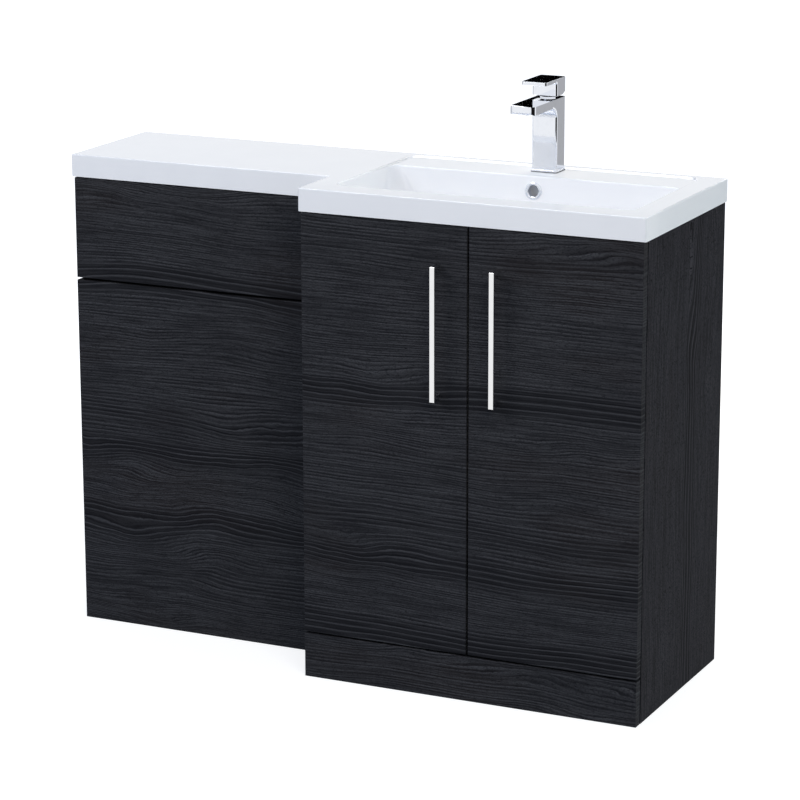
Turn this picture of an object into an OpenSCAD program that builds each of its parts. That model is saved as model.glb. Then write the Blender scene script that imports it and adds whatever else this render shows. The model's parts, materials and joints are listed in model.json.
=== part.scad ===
// Combination unit: a basin cabinet beside a shallower back-to-wall pan unit,
// both under one L-shaped moulded top with an integral basin.
// x runs along the wall from the pan end, y is forward when negative, z is up.
// Every module is drawn from the wall corner at the pan end, and placed() moves
// it so that the origin lies on the floor under the middle of the whole unit.

/* [Moulded top] */
// Width of the whole unit along the wall
unit_w = 1100; // [1000:10:1300]
// Width of the part of the top that carries the basin
basin_w = 604; // [560:1:700]
// Depth of the top over the basin cabinet
basin_d = 373; // [350:1:460]
// Depth of the top over the pan unit
wc_d = 256; // [225:1:300]
// Height of the top face above the floor
top_h = 834; // [780:1:900]
// Height of the front edge of the top
top_edge = 38.5; // [30:0.5:50]
// Rounding of the upper edge of the top
edge_round = 2; // [1:0.25:3]
// Radius of the upright corners of the top
corner_round = 3.5; // [3.25:0.25:6]
// Width of the skirt round the hollow underside
skirt = 14; // [12:1:16]
// Thickness of the plate above the hollow
plate_t = 14; // [10:1:18]

/* [Basin] */
// Rim left and right of the basin
rim_side = 41; // [34:1:60]
// Rim in front of the basin
rim_front = 51; // [46:1:70]
// Rim behind the tap ledge
rim_back = 14; // [10:1:20]
// Drop from the rim to the tap ledge
ledge_drop = 2.5; // [1:0.5:6]
// Width of the soft slope behind the ledge
ledge_slope = 8; // [4:1:8]
// Distance from the wall to the front edge of the tap ledge
ledge_front = 104; // [96:1:120]
// Depth of the bowl below the rim
bowl_depth = 105; // [80:1:120]
// Wall of the bowl
bowl_wall = 8; // [6:0.5:10]
// Diameter of the tap hole
tap_hole_d = 35; // [32:1:38]
// Diameter of the waste hole
waste_hole_d = 45; // [43.5:0.5:47]
// Diameter of the overflow hole
overflow_d = 24; // [20:1:26]
// Depth of the overflow centre below the rim
overflow_drop = 27; // [22:1:34]

/* [Boards] */
// Thickness of every board
board = 18; // [15:1:22]
// Gap between the cabinets and the fronts
front_gap = 2; // [1.5:0.25:3]
// How far the fronts stay behind the edge of the top
front_setback = 1.5; // [0:0.5:5]
// How far the cabinets stay inside the ends of the top
side_inset = 4; // [0:0.5:8]
// Rounding of the front edges of the doors and panels
front_round = 1.2; // [0.5:0.1:3]
// Height of the plinth board
plinth_h = 76.5; // [60:0.5:120]
// Gap between the plinth and the doors
plinth_gap = 3.5; // [2:0.5:6]
// Gap between the doors
seam_gap = 3.5; // [2:0.5:6]
// Gap between the fronts and the underside of the top
head_gap = 2; // [1:0.5:6]
// How far the front boards stay inside the cabinet's outer faces
edge_inset = 0.5; // [0:0.25:2]
// Depth of the upright rails
rail_h = 60; // [50:1:80]
// Height of the shelf above the floor
shelf_z = 396; // [300:1:460]
// Depth of the shelf
shelf_d = 262; // [180:1:290]

/* [Pan unit] */
// Height of the lower panel, which the pan stands against
pan_panel_h = 614; // [560:1:640]
// Gap between the lower panel and the access panel
panel_gap = 4.5; // [2:0.5:8]
// Gap beside the panels where they meet the basin cabinet
panel_side_gap = 2; // [1:0.5:4]
// Diameter of the press studs that hold the panels
stud_d = 8; // [6:0.5:9]

/* [Door handles] */
// Overall height of a handle
handle_len = 222.5; // [150:0.5:320]
// Width of a handle as seen from the front
handle_w = 9; // [6:0.5:14]
// Thickness of the handle's grip
handle_t = 4; // [3:0.5:8]
// Height of the handle's feet
handle_foot = 10; // [9:0.5:16]
// Reach of a handle in front of its door
handle_reach = 25; // [20:1:40]
// Distance from the edge of the door to the middle of its handle
handle_edge = 49.8; // [30:0.1:80]
// Height of the top of the handles above the floor
handle_top = 729.8; // [600:0.1:731]

/* [Hinges] */
// Distance from the ends of a door to the middle of a hinge
hinge_end = 110; // [100:1:160]
// Diameter of the hinge cup
cup_d = 35; // [35:0.5:36]
// Depth of the hinge cup in the door
cup_depth = 12.8; // [12.6:0.1:13.4]
// Diameter of the hinge pivots
pivot_d = 2.4; // [2:0.1:2.6]
// Width of the hinge link
link_w = 13; // [10:0.5:15]
// Thickness of the hinge link
link_t = 2.4; // [2:0.1:2.6]

/* [Tap] */
// Width of the tap body
tap_w = 45; // [42:0.5:50]
// Depth of the tap body
tap_d = 38; // [37.5:0.25:40]
// Height of the tap body above the ledge
tap_h = 124; // [100:1:160]
// Distance from the wall to the back of the tap body
tap_back = 25; // [24.5:0.25:28]
// Reach of the spout in front of the body
spout_reach = 97; // [80:1:130]
// Thickness of the spout
spout_t = 14; // [13:0.5:20]
// Gap between the tap body and the lever
lever_gap = 4.5; // [4:0.25:6]
// Height of the lever block
lever_h = 28.5; // [25:0.5:34]
// Thickness of the lever plate
lever_plate = 5.5; // [4:0.5:8]
// Reach of the lever plate in front of the body
lever_reach = 46; // [30:1:60]
// Diameter of the mixing cartridge
cartridge_d = 35; // [32:0.5:35]

/* [Waste] */
// Outside diameter of the waste's thread
waste_d = 41.9; // [40:0.1:43]
// Diameter of the waste's flange
waste_flange_d = 63; // [58:1:70]
// Length of the waste below the basin
waste_len = 82; // [76:1:100]

/* [Hidden] */
$fn = 48;

tiny = 0.01;
run_clear = 0.05;          // radial clearance of a pin in its hole
fit_clear = 0.3;           // clearance between curved faces of different pieces

// driving positions that follow from the sizes above
wc_w = unit_w - basin_w;
door_face_y = -(basin_d - front_setback);
door_back_y = door_face_y + board;
basin_front_y = door_back_y + front_gap;
wc_face_y = -(wc_d - front_setback);
wc_panel_back_y = wc_face_y + board;
wc_front_y = wc_panel_back_y + front_gap;
cab_top = top_h - top_edge;
basin_x0 = wc_w + side_inset;
basin_x1 = unit_w - side_inset;
basin_mid = (basin_x0 + basin_x1) / 2;
inner_x0 = basin_x0 + board;
inner_x1 = basin_x1 - board;
wc_x0 = side_inset;
wc_x1 = basin_x0;
service_gap = 20;          // room behind the back rails for pipes
total_d = -door_face_y + handle_reach;

module placed() { translate([-unit_w / 2, total_d / 2, 0]) children(); }

// ---------------------------------------------------------------- helpers
// box from a low corner to a high corner
module box(low, high) {
    translate(low) cube(high - low);
}

// upright prism with four rounded corners, from z0 to z1
module slab(x0, x1, y0, y1, r, z0, z1) {
    translate([0, 0, z0]) linear_extrude(z1 - z0) round_rect(x0, x1, y0, y1, r);
}

module round_rect(x0, x1, y0, y1, r) {
    translate([x0 + r, y0]) square([x1 - x0 - 2 * r, y1 - y0]);
    translate([x0, y0 + r]) square([x1 - x0, y1 - y0 - 2 * r]);
    for (x = [x0 + r, x1 - r], y = [y0 + r, y1 - r]) translate([x, y]) circle(r);
}

// outline of a board with its two front corners rounded
module front_outline(w, t, r) {
    translate([r, 0]) square([w - 2 * r, t]);
    translate([0, r]) square([w, t - r]);
    for (x = [r, w - r]) translate([x, r]) circle(r);
}

// upright board, whose four front edges are rounded
module front_board(x0, x1, z0, z1, face_y) {
    intersection() {
        translate([x0, face_y, z0]) linear_extrude(z1 - z0)
            front_outline(x1 - x0, board, front_round);
        translate([x0, face_y, z1]) rotate([0, 90, 0]) linear_extrude(x1 - x0)
            front_outline(z1 - z0, board, front_round);
    }
}

// cylinder along x, y or z from a start point, for a positive or negative length
module rod_x(p, r, len) { translate(p) rotate([0, len > 0 ? 90 : -90, 0]) cylinder(r = r, h = abs(len)); }
module rod_y(p, r, len) { translate(p) rotate([len > 0 ? -90 : 90, 0, 0]) cylinder(r = r, h = abs(len)); }
module rod_z(p, r, len) { translate(p) rotate([len > 0 ? 0 : 180, 0, 0]) cylinder(r = r, h = abs(len)); }

// flat strip of even width through a list of plan points
module strip_2d(points, w) {
    for (p = points) translate(p) circle(w / 2);
    for (i = [0 : len(points) - 2]) {
        d = points[i + 1] - points[i];
        translate(points[i]) rotate(atan2(d.y, d.x)) translate([0, -w / 2]) square([norm(d), w]);
    }
}

// ---------------------------------------------------------------- moulded top
rim_x0 = wc_w + rim_side;
rim_x1 = unit_w - rim_side;
rim_y0 = -(basin_d - rim_front);
rim_y1 = -rim_back;
ledge_z = top_h - ledge_drop;
bowl_floor_z = top_h - bowl_depth;
bowl_mid_y = (rim_y0 - ledge_front) / 2;
overflow_z = top_h - overflow_drop;
// insets of the bowl's outline, one for each level down to the floor
bowl_steps = [[0, 0, 16], [0.42, 6, 40], [0.7, 13, 58], [0.86, 21, 66], [0.95, 34, 66], [1, 58, 48]];
front_r = bowl_steps[0][2];
back_r = 26;
back_slope = 0.6;          // the bowl's back wall leans in less than the other walls
duct_w = 30;               // width of the overflow duct
duct_t = 10;               // its thickness front to back
duct_wall = 6;
waste_boss_r = 36;
floor_t = 26;              // thickness of the boss round the waste
boss_low = bowl_floor_z - floor_t;
duct_half = duct_w / 2 + duct_wall;
duct_top = overflow_z + overflow_d / 2 + duct_wall;
rib_t = 12;                // rib under the part of the top over the pan unit

// slab with rounded upper edges and upright corners, hanging by h from the top face
module top_slab(x0, x1, y0, y1, h) {
    intersection() {
        slab(x0, x1, y0, y1, corner_round, top_h - h, top_h);
        translate([x0, 0, 0]) rotate([90, 0, 90]) linear_extrude(x1 - x0)
            translate([y0, top_h - h]) top_profile(y1 - y0, h);
        translate([0, y1, 0]) rotate([90, 0, 0]) linear_extrude(y1 - y0)
            translate([x0, top_h - h]) top_profile(x1 - x0, h);
    }
}

// outline of a slab of width w and height h with its two upper corners rounded
module top_profile(w, h) {
    r = edge_round;
    square([w, h - r]);
    translate([r, 0]) square([w - 2 * r, h]);
    for (x = [r, w - r]) translate([x, h - r]) circle(r);
}

// the bowl's levels, each moved out by grow and down by drop, joined into one form
module bowl_form(grow, drop, cap) {
    hull() for (s = bowl_steps) {
        z = top_h - s[0] * bowl_depth - drop;
        slab(rim_x0 + s[1] - grow, rim_x1 - s[1] + grow, rim_y0 + s[1] - grow,
            -ledge_front - s[1] * back_slope + grow, s[2], z, z + (s[0] == 0 ? cap : tiny), $fn = 32);
    }
}

// one level of the recess, whose back corners are rounder than its front corners
module recess_level(inset, back, h, z) {
    translate([0, 0, z]) linear_extrude(h) {
        for (x = [rim_x0 + inset + front_r, rim_x1 - inset - front_r])
            translate([x, rim_y0 + inset + front_r]) circle(front_r, $fn = 32);
        for (x = [rim_x0 + inset + back_r, rim_x1 - inset - back_r])
            translate([x, back - back_r]) circle(back_r, $fn = 32);
    }
}

// shallow recess, with a soft slope behind the tap ledge
module top_recess() {
    hull() {
        recess_level(0, rim_y1, 1, top_h);
        recess_level(0.4, rim_y1 - 0.16 * ledge_slope, 1, top_h - 0.4 * ledge_drop);
        recess_level(1.5, rim_y1 - ledge_slope, 1, ledge_z);
    }
}

module underside_hollows() {
    ceiling = top_h - ledge_drop - plate_t;
    box([wc_w + skirt + 4, -basin_d + skirt, cab_top - 1], [unit_w - skirt, -skirt, ceiling]);
    box([skirt, -wc_d + skirt, cab_top - 1], [wc_w - skirt, -skirt, ceiling]);
}

duct_y1 = -ledge_front + bowl_wall + duct_t;
duct_low_z = bowl_floor_z - floor_t + duct_wall;
wall_lean = atan(bowl_steps[1][1] * back_slope / (bowl_steps[1][0] * bowl_depth));
overflow_y = -ledge_front - overflow_drop * tan(wall_lean);

// the overflow's middle on the bowl's back wall, with z turned into the wall
module at_overflow() {
    translate([basin_mid, overflow_y, overflow_z]) rotate([-90 - wall_lean, 0, 0]) children();
}

module worktop_basin() {
    color("white") placed() difference() {
        union() {
            difference() {
                union() {
                    top_slab(wc_w, unit_w, -basin_d, 0, top_edge);
                    top_slab(0, wc_w + 2 * edge_round + 1, -wc_d, 0, top_edge);
                }
                underside_hollows();
            }
            // strengthening rib under the shelf over the pan unit
            box([wc_w / 2 - rib_t / 2, -wc_d + skirt - 1, cab_top + rib_t / 2],
                [wc_w / 2 + rib_t / 2, -skirt + 1, ledge_z - 1]);
            bowl_form(bowl_wall, bowl_wall, tiny);
            rod_z([basin_mid, bowl_mid_y, boss_low], waste_boss_r, floor_t - 1);
            // overflow duct, down behind the bowl and forward to the waste
            box([basin_mid - duct_half, -ledge_front, boss_low],
                [basin_mid + duct_half, duct_y1 + duct_wall, duct_top]);
            box([basin_mid - duct_half, bowl_mid_y, boss_low],
                [basin_mid + duct_half, -ledge_front, bowl_floor_z - 1]);
        }
        top_recess();
        bowl_form(0, 0, 4);
        rod_z([basin_mid, tap_y, ledge_z + 1], tap_hole_d / 2, -plate_t - 2);
        rod_z([basin_mid, bowl_mid_y, bowl_floor_z + 2], waste_hole_d / 2, -floor_t - 4);
        // seat for the waste's flange
        rod_z([basin_mid, bowl_mid_y, bowl_floor_z - flange_t], waste_flange_d / 2 + fit_clear, flange_t + 8);
        at_overflow() rod_z([0, 0, -6], overflow_d / 2, 6 + bowl_wall + duct_t);
        box([basin_mid - duct_w / 2, duct_y1 - duct_t, duct_low_z],
            [basin_mid + duct_w / 2, duct_y1, overflow_z + overflow_d / 2]);
        box([basin_mid - duct_w / 2, bowl_mid_y, duct_low_z],
            [basin_mid + duct_w / 2, duct_y1 - tiny, duct_low_z + duct_t]);
    }
}

// ---------------------------------------------------------------- basin cabinet
base_z = plinth_h;                     // underside of the base panel
back_rail_y = -service_gap;
stud_rows = [-32, 0, 32];
shelf_stud_d = 5;
shelf_stud_y = [-80, -300];
shelf_stud_in = 8;                     // how far a stud goes into the side
shelf_stud_out = 9;                    // how far it stands out under the shelf
connector_d = 8;
connector_head_r = 7;
connector_head_t = 2;
connector_spots = [[-60, 140], [-200, 140], [-60, 660], [-200, 660]];
plate_screw_d = 4.8;
plate_pitch = 32;                      // height between the two screws of a hinge plate
plate_setback = 37;                    // from the door's back face to those screws
hinge_zs = [plinth_h + plinth_gap + hinge_end, cab_top - head_gap - hinge_end];

// one side of the basin cabinet, drawn in the range x 0 to board, inner face at x = board
module basin_side(connected) {
    difference() {
        box([0, basin_front_y, 0], [board, 0, cab_top]);
        for (y = shelf_stud_y, dz = stud_rows)
            rod_x([board + 1, y, shelf_z - shelf_stud_d / 2 + dz], shelf_stud_d / 2 + run_clear,
                -shelf_stud_in - 2);
        for (z = hinge_zs, dz = [-1, 1])
            rod_x([board + 1, door_back_y + plate_setback, z + dz * plate_pitch / 2],
                plate_screw_d / 2 + run_clear, -12.5);
        if (connected) for (s = connector_spots)
            rod_x([-1, s[0], s[1]], connector_d / 2 + run_clear, board + 2);
    }
}

module basin_side_left() { color("#27282b") placed() translate([basin_x0, 0, 0]) basin_side(true); }

module basin_side_right() {
    color("#27282b") placed() translate([basin_x1, 0, 0]) mirror([1, 0, 0]) basin_side(false);
}

module basin_base_panel() {
    color("#27282b") placed()
        box([inner_x0, basin_front_y, base_z], [inner_x1, -service_gap, base_z + board]);
}

module basin_front_rail() {
    color("#27282b") placed()
        box([inner_x0, basin_front_y, cab_top - rail_h], [inner_x1, basin_front_y + board, cab_top]);
}

module basin_back_rail_upper() {
    color("#27282b") placed()
        box([inner_x0, back_rail_y - board, cab_top - rail_h], [inner_x1, back_rail_y, cab_top]);
}

module basin_back_rail_lower() {
    color("#27282b") placed()
        box([inner_x0, back_rail_y - board, base_z + board],
            [inner_x1, back_rail_y, base_z + board + 2 * rail_h]);
}

shelf_front_y = basin_front_y + 24;

module shelf() {
    color("#27282b") placed()
        box([inner_x0 + 1, shelf_front_y, shelf_z], [inner_x1 - 1, shelf_front_y + shelf_d, shelf_z + board]);
}

module shelf_studs() {
    color("silver") placed() for (y = shelf_stud_y) {
        z = shelf_z - shelf_stud_d / 2;
        rod_x([inner_x0 - shelf_stud_in, y, z], shelf_stud_d / 2, shelf_stud_in + shelf_stud_out);
        rod_x([inner_x1 + shelf_stud_in, y, z], shelf_stud_d / 2, -shelf_stud_in - shelf_stud_out);
    }
}

module plinth_board() {
    color("#27282b") placed()
        front_board(basin_x0 + edge_inset, basin_x1 - edge_inset, 0, plinth_h, door_face_y);
}

// blocks that tie the plinth board to the sides
block_w = 30;
block_z = 12;
block_h = 48;
module plinth_blocks() {
    color("#27282b") placed() for (x = [inner_x0, inner_x1 - block_w])
        box([x, door_back_y, block_z], [x + block_w, door_back_y + block_w, block_z + block_h]);
}

// ---------------------------------------------------------------- pan unit
wc_in0 = wc_x0 + board;
wc_in1 = wc_x1 - board;
panel_x0 = wc_x0 + edge_inset;
panel_x1 = wc_x1 - panel_side_gap;
access_z0 = pan_panel_h + panel_gap;
access_z1 = cab_top - head_gap;
stud_xs = [wc_x0 + board / 2, wc_x1 - board / 2];
lower_stud_zs = [60, 320, 560];
access_stud_zs = [access_z0 + 36, access_z1 - 36];
stud_in_panel = 10;
stud_in_socket = 12;
socket_r = stud_d / 2 + 2;
middle_rail_z = pan_panel_h + panel_gap / 2;

module wc_side(x0) {
    difference() {
        box([x0, wc_front_y, 0], [x0 + board, 0, cab_top]);
        for (z = concat(lower_stud_zs, access_stud_zs))
            rod_y([x0 + board / 2, wc_front_y - 1, z], socket_r + run_clear, stud_in_socket + 3);
        if (x0 > wc_x0) for (s = connector_spots)
            rod_x([x0 - 1, s[0], s[1]], connector_d / 2 + run_clear, board + 2);
    }
}

module wc_side_left() { color("#27282b") placed() wc_side(wc_x0); }
module wc_side_right() { color("#27282b") placed() wc_side(wc_in1); }

module wc_rail(z0, z1, y0) {
    color("#27282b") placed() box([wc_in0, y0, z0], [wc_in1, y0 + board, z1]);
}

module wc_top_rail() { wc_rail(cab_top - rail_h, cab_top, wc_front_y); }
module wc_middle_rail() { wc_rail(middle_rail_z - rail_h / 2, middle_rail_z + rail_h / 2, wc_front_y); }
module wc_bottom_rail() { wc_rail(0, rail_h, wc_front_y); }
module wc_back_rail() { wc_rail(cab_top - rail_h, cab_top, back_rail_y - board); }

module panel_with_holes(z0, z1, stud_zs) {
    color("#27282b") placed() difference() {
        front_board(panel_x0, panel_x1, z0, z1, wc_face_y);
        for (x = stud_xs, z = stud_zs)
            rod_y([x, wc_panel_back_y + 1, z], stud_d / 2 + run_clear, -stud_in_panel - 1);
    }
}

module wc_lower_panel() { panel_with_holes(0, pan_panel_h, lower_stud_zs); }
module wc_access_panel() { panel_with_holes(access_z0, access_z1, access_stud_zs); }

// press stud: a plain foot in the panel, a waist and a rounded head in the socket
module press_stud(x, z) {
    r = stud_d / 2;
    translate([x, wc_panel_back_y - stud_in_panel, z]) rotate([-90, 0, 0]) rotate_extrude()
        polygon([[0, 0], [r, 0], [r, stud_in_panel + front_gap + 2], [r - 0.7, stud_in_panel + front_gap + 4],
            [r - 0.7, stud_in_panel + front_gap + 6], [r, stud_in_panel + front_gap + 8],
            [r, stud_in_panel + stud_in_socket - 1.5], [r - 1.5, stud_in_panel + stud_in_socket],
            [0, stud_in_panel + stud_in_socket]]);
}

module press_studs(stud_zs) { color("silver") placed() for (x = stud_xs, z = stud_zs) press_stud(x, z); }
module lower_panel_studs() { press_studs(lower_stud_zs); }
module access_panel_studs() { press_studs(access_stud_zs); }

module panel_sockets() {
    color("gainsboro") placed() for (x = stud_xs, z = concat(lower_stud_zs, access_stud_zs)) difference() {
        union() {
            rod_y([x, wc_panel_back_y, z], board / 2 - 0.5, front_gap);
            rod_y([x, wc_front_y, z], socket_r, stud_in_socket);
        }
        rod_y([x, wc_panel_back_y - 1, z], stud_d / 2 + run_clear, front_gap + stud_in_socket);
    }
}

// two-part connectors through the touching sides of the two cabinets
module cabinet_connectors() {
    color("silver") placed() for (s = connector_spots) {
        rod_x([wc_in1 - connector_head_t, s[0], s[1]], connector_head_r, connector_head_t);
        rod_x([wc_in1, s[0], s[1]], connector_d / 2, 2 * board);
        rod_x([wc_in1 + 2 * board, s[0], s[1]], connector_head_r, connector_head_t);
    }
}

// angle brackets in the four back corners that the wall screws pass through
bracket_t = 2;
bracket_leg = 34;
bracket_h = 36;
bracket_z = cab_top - rail_h - 24;
bracket_hole_d = 5.5;
bracket_hole_x = 20;
bracket_screw_d = 4;
bracket_screw_y = -22;
bracket_screw_dz = 9;
// inner faces of the four sides, and the way each bracket points
bracket_spots = [[wc_in0, 1], [wc_in1, -1], [inner_x0, 1], [inner_x1, -1]];

module wall_brackets() {
    color("silver") placed() for (s = bracket_spots) translate([s[0], 0, bracket_z])
        mirror([s[1] < 0 ? 1 : 0, 0, 0])
        difference() {
            union() {
                box([0, -bracket_t, -bracket_h / 2], [bracket_leg, 0, bracket_h / 2]);
                box([0, -bracket_leg, -bracket_h / 2], [bracket_t, 0, bracket_h / 2]);
            }
            rod_y([bracket_hole_x, 1, 0], bracket_hole_d / 2, -bracket_t - 2);
            for (z = [-bracket_screw_dz, bracket_screw_dz])
                rod_x([-1, bracket_screw_y, z], bracket_screw_d / 2 + run_clear, bracket_t + 2);
        }
}

module wall_bracket_screws() {
    color("silver") placed() for (s = bracket_spots, z = [-bracket_screw_dz, bracket_screw_dz])
        translate([s[0], bracket_screw_y, bracket_z + z]) mirror([s[1] < 0 ? 1 : 0, 0, 0]) {
            rod_x([bracket_t, 0, 0], 3.6, 1.8);
            rod_x([0, 0, 0], bracket_screw_d / 2, bracket_t + 0.5);
        }
}

// ---------------------------------------------------------------- doors
door_z0 = plinth_h + plinth_gap;
door_z1 = cab_top - head_gap;
door_w = (basin_x1 - basin_x0 - 2 * edge_inset - seam_gap) / 2;
door_edge_l = basin_x0 + edge_inset;
door_edge_r = basin_x1 - edge_inset;
handle_x = door_w - handle_edge;       // from the hinged edge to the handle
handle_screw_d = 4;
handle_foot_zs = [handle_top - handle_foot / 2, handle_top - handle_len + handle_foot / 2];
cup_x = 22.5;                          // from the door's hinged edge to the cup's middle
cup_screw_dz = 21;
cup_screw_d = 3.5;
wing_t = 1.6;                          // thickness of the cup's wings

// the right door is drawn as it is, the left one is its mirror image
module door_pair_side(left) {
    placed() translate([left ? door_edge_l : door_edge_r, 0, 0])
        mirror([left ? 1 : 0, 0, 0]) children();
}

module door_board() {
    difference() {
        front_board(-door_w, 0, door_z0, door_z1, door_face_y);
        for (z = hinge_zs) {
            rod_y([-cup_x, door_back_y + 1, z], cup_d / 2, -cup_depth - 1.1);
            for (dz = [-1, 1])
                rod_y([-cup_x - 4, door_back_y + 1, z + dz * cup_screw_dz], cup_screw_d / 2 + run_clear, -11);
        }
        for (z = handle_foot_zs)
            rod_y([-handle_x, door_back_y + 1, z], handle_screw_d / 2 + run_clear, -board - 2);
    }
}

module left_door() { color("#27282b") door_pair_side(true) door_board(); }
module right_door() { color("#27282b") door_pair_side(false) door_board(); }

module handle() {
    y0 = door_face_y - handle_reach;
    x = -handle_x;
    low = handle_top - handle_len;
    difference() {
        union() {
            box([x - handle_w / 2, y0, low], [x + handle_w / 2, y0 + handle_t, handle_top]);
            for (z = handle_foot_zs)
                box([x - handle_w / 2, y0, z - handle_foot / 2],
                    [x + handle_w / 2, door_face_y, z + handle_foot / 2]);
        }
        for (z = handle_foot_zs) rod_y([x, door_face_y + 1, z], handle_screw_d / 2 + run_clear, -15);
    }
}

module left_handle() { color("gainsboro") door_pair_side(true) handle(); }
module right_handle() { color("gainsboro") door_pair_side(false) handle(); }

module handle_screws() {
    for (z = handle_foot_zs) difference() {
        union() {
            rod_y([-handle_x, door_back_y, z], handle_screw_d / 2, -board - 12);
            rod_y([-handle_x, door_back_y, z], 4.2, 2.6);
        }
        // cross recess
        for (a = [0, 90]) translate([-handle_x, door_back_y + 2.6, z]) rotate([0, a, 0])
            cube([4.4, 2.6, 0.9], center = true);
    }
}

buffer_zs = [door_z1 - 20, base_z + board / 2 + 2];
module door_buffers() {
    for (z = buffer_zs) rod_y([-door_w + 12, door_back_y, z], 4, front_gap - fit_clear);
}
module left_door_buffers() { color("whitesmoke") door_pair_side(true) door_buffers(); }
module right_door_buffers() { color("whitesmoke") door_pair_side(false) door_buffers(); }

// ---------------------------------------------------------------- hinges
// plan points from the door's hinged edge and back face: the pivot on the arm,
// the pivot in the cup and the bends of the link between them
arm_pivot = [-30, 4];
cup_pivot = [-12, -5.5];
link_bends = [cup_pivot, [-15.75, -6], [-19.5, -9.75], [-22, -9.75], [-28, -3.75], [-28, 2], arm_pivot];
link_eye_r = 2.2;
cup_wall = 1;
cup_clear = 0.1;
arm_t = 1.2;
arm_face_x = -34.5;                    // the arm's outer face, towards the middle of the cabinet
arm_end_y = 60;
arm_nose_y = 1.8;
arm_in = link_w / 2 + 0.5;             // half the arm's inner width
plate_t2 = 3;
plate_x0 = -(board - edge_inset);      // the side's inner face
saddle_y = [28, 50];

module at_hinges(left) {
    door_pair_side(left) translate([0, door_back_y, 0]) for (z = hinge_zs) translate([0, 0, z]) children();
}

module hinge_cup() {
    difference() {
        union() {
            rod_y([-cup_x, 0, 0], cup_d / 2 - cup_clear, -cup_depth);
            // two wings that lie on the door's back face
            intersection() {
                box([-cup_x - 10.5, 0, -27], [-cup_x + 2.5, wing_t, 27]);
                translate([-cup_x - 4, 0, 0]) rotate([-90, 0, 0]) linear_extrude(wing_t)
                    round_rect(-6.5, 6.5, -27, 27, 4);
            }
            rod_y([-cup_x, 0, 0], cup_d / 2 - cup_clear, 0.4);
        }
        rod_y([-cup_x, wing_t + 1, 0], cup_d / 2 - cup_wall, -cup_depth - wing_t + cup_wall - 1);
        for (dz = [-1, 1])
            rod_y([-cup_x - 4, wing_t + 1, dz * cup_screw_dz], cup_screw_d / 2 + run_clear, -4);
    }
    // pivot pin across the cup
    half = sqrt(pow(cup_d / 2 - cup_wall, 2) - pow(cup_x + cup_pivot.x, 2)) + cup_wall / 2;
    rod_z([cup_pivot.x, cup_pivot.y, -half], pivot_d / 2, 2 * half);
}

module left_hinge_cups() { color("silver") at_hinges(true) hinge_cup(); }
module right_hinge_cups() { color("silver") at_hinges(false) hinge_cup(); }

module cup_screws() {
    for (dz = [-1, 1]) {
        rod_y([-cup_x - 4, 0, dz * cup_screw_dz], cup_screw_d / 2, wing_t);
        rod_y([-cup_x - 4, 0, dz * cup_screw_dz], cup_screw_d / 2, -9.5);
        rod_y([-cup_x - 4, wing_t, dz * cup_screw_dz], 3.2, 1.2);
    }
}
module door_screws(left) {
    color("silver") door_pair_side(left) handle_screws();
    color("silver") at_hinges(left) cup_screws();
}
module left_door_screws() { door_screws(true); }
module right_door_screws() { door_screws(false); }

module hinge_link() {
    translate([0, 0, -link_w / 2]) linear_extrude(link_w) difference() {
        union() {
            strip_2d(link_bends, link_t);
            for (p = [arm_pivot, cup_pivot]) translate(p) circle(link_eye_r);
        }
        for (p = [arm_pivot, cup_pivot]) translate(p) circle(pivot_d / 2 + run_clear);
    }
}
module left_hinge_links() { color("silver") at_hinges(true) hinge_link(); }
module right_hinge_links() { color("silver") at_hinges(false) hinge_link(); }

// folded channel that reaches from the plate to the pivot at its nose
module hinge_arm() {
    wall = arm_in + arm_t;
    difference() {
        box([arm_face_x, arm_nose_y, -wall], [arm_face_x + 8.6, arm_end_y, wall]);
        box([arm_face_x + arm_t, arm_nose_y - 1, -arm_in], [arm_face_x + 20, arm_end_y - arm_t, arm_in]);
        // the nose is cut back on the side of the cup
        box([arm_face_x + 6.8, arm_nose_y - 1, -wall - 1], [arm_face_x + 9, arm_nose_y + 6, wall + 1]);
        for (y = [32, 46]) rod_x([arm_face_x - 1, y, 0], 2.6, 4);
    }
    rod_z([arm_pivot.x, arm_pivot.y, -wall], pivot_d / 2, 2 * wall);
}

module hinge_plate() {
    difference() {
        union() {
            box([plate_x0 - plate_t2, saddle_y[0] - 4, -arm_in - 1], [plate_x0, saddle_y[1] + 4, arm_in + 1]);
            translate([plate_x0, plate_setback, 0]) rotate([0, -90, 0]) linear_extrude(plate_t2)
                round_rect(-plate_pitch / 2 - 6, plate_pitch / 2 + 6, -6, 6, 5);
            // saddle that the arm sits on
            box([arm_face_x + arm_t, saddle_y[0], -arm_in + 0.2],
                [plate_x0 - plate_t2, saddle_y[1], arm_in - 0.2]);
        }
        for (dz = [-1, 1]) rod_x([plate_x0 + 1, plate_setback, dz * plate_pitch / 2],
            plate_screw_d / 2 + run_clear, -plate_t2 - 2);
        for (y = [32, 46]) rod_x([arm_face_x - 1, y, 0], 2 + run_clear, 12);
    }
}

// two screws hold each plate to the side, and two hold the arm on the saddle
module hinge_screw_set() {
    for (dz = [-1, 1]) {
        rod_x([plate_x0 - plate_t2, plate_setback, dz * plate_pitch / 2], 3.8, -2);
        rod_x([plate_x0 - plate_t2, plate_setback, dz * plate_pitch / 2], plate_screw_d / 2, plate_t2 + 11);
    }
    for (y = [32, 46]) difference() {
        union() {
            rod_x([arm_face_x, y, 0], 3.6, -1.6);
            rod_x([arm_face_x, y, 0], 2, 10);
        }
        translate([arm_face_x - 1.6, y, 0]) for (a = [0, 90]) rotate([a, 0, 0])
            cube([1.8, 4, 0.8], center = true);
    }
}

module on_both_sides() {
    at_hinges(true) children();
    at_hinges(false) children();
}
module hinge_arms() { color("silver") on_both_sides() hinge_arm(); }
module hinge_plates() { color("silver") on_both_sides() hinge_plate(); }
module hinge_screws() { color("silver") on_both_sides() hinge_screw_set(); }

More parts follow.
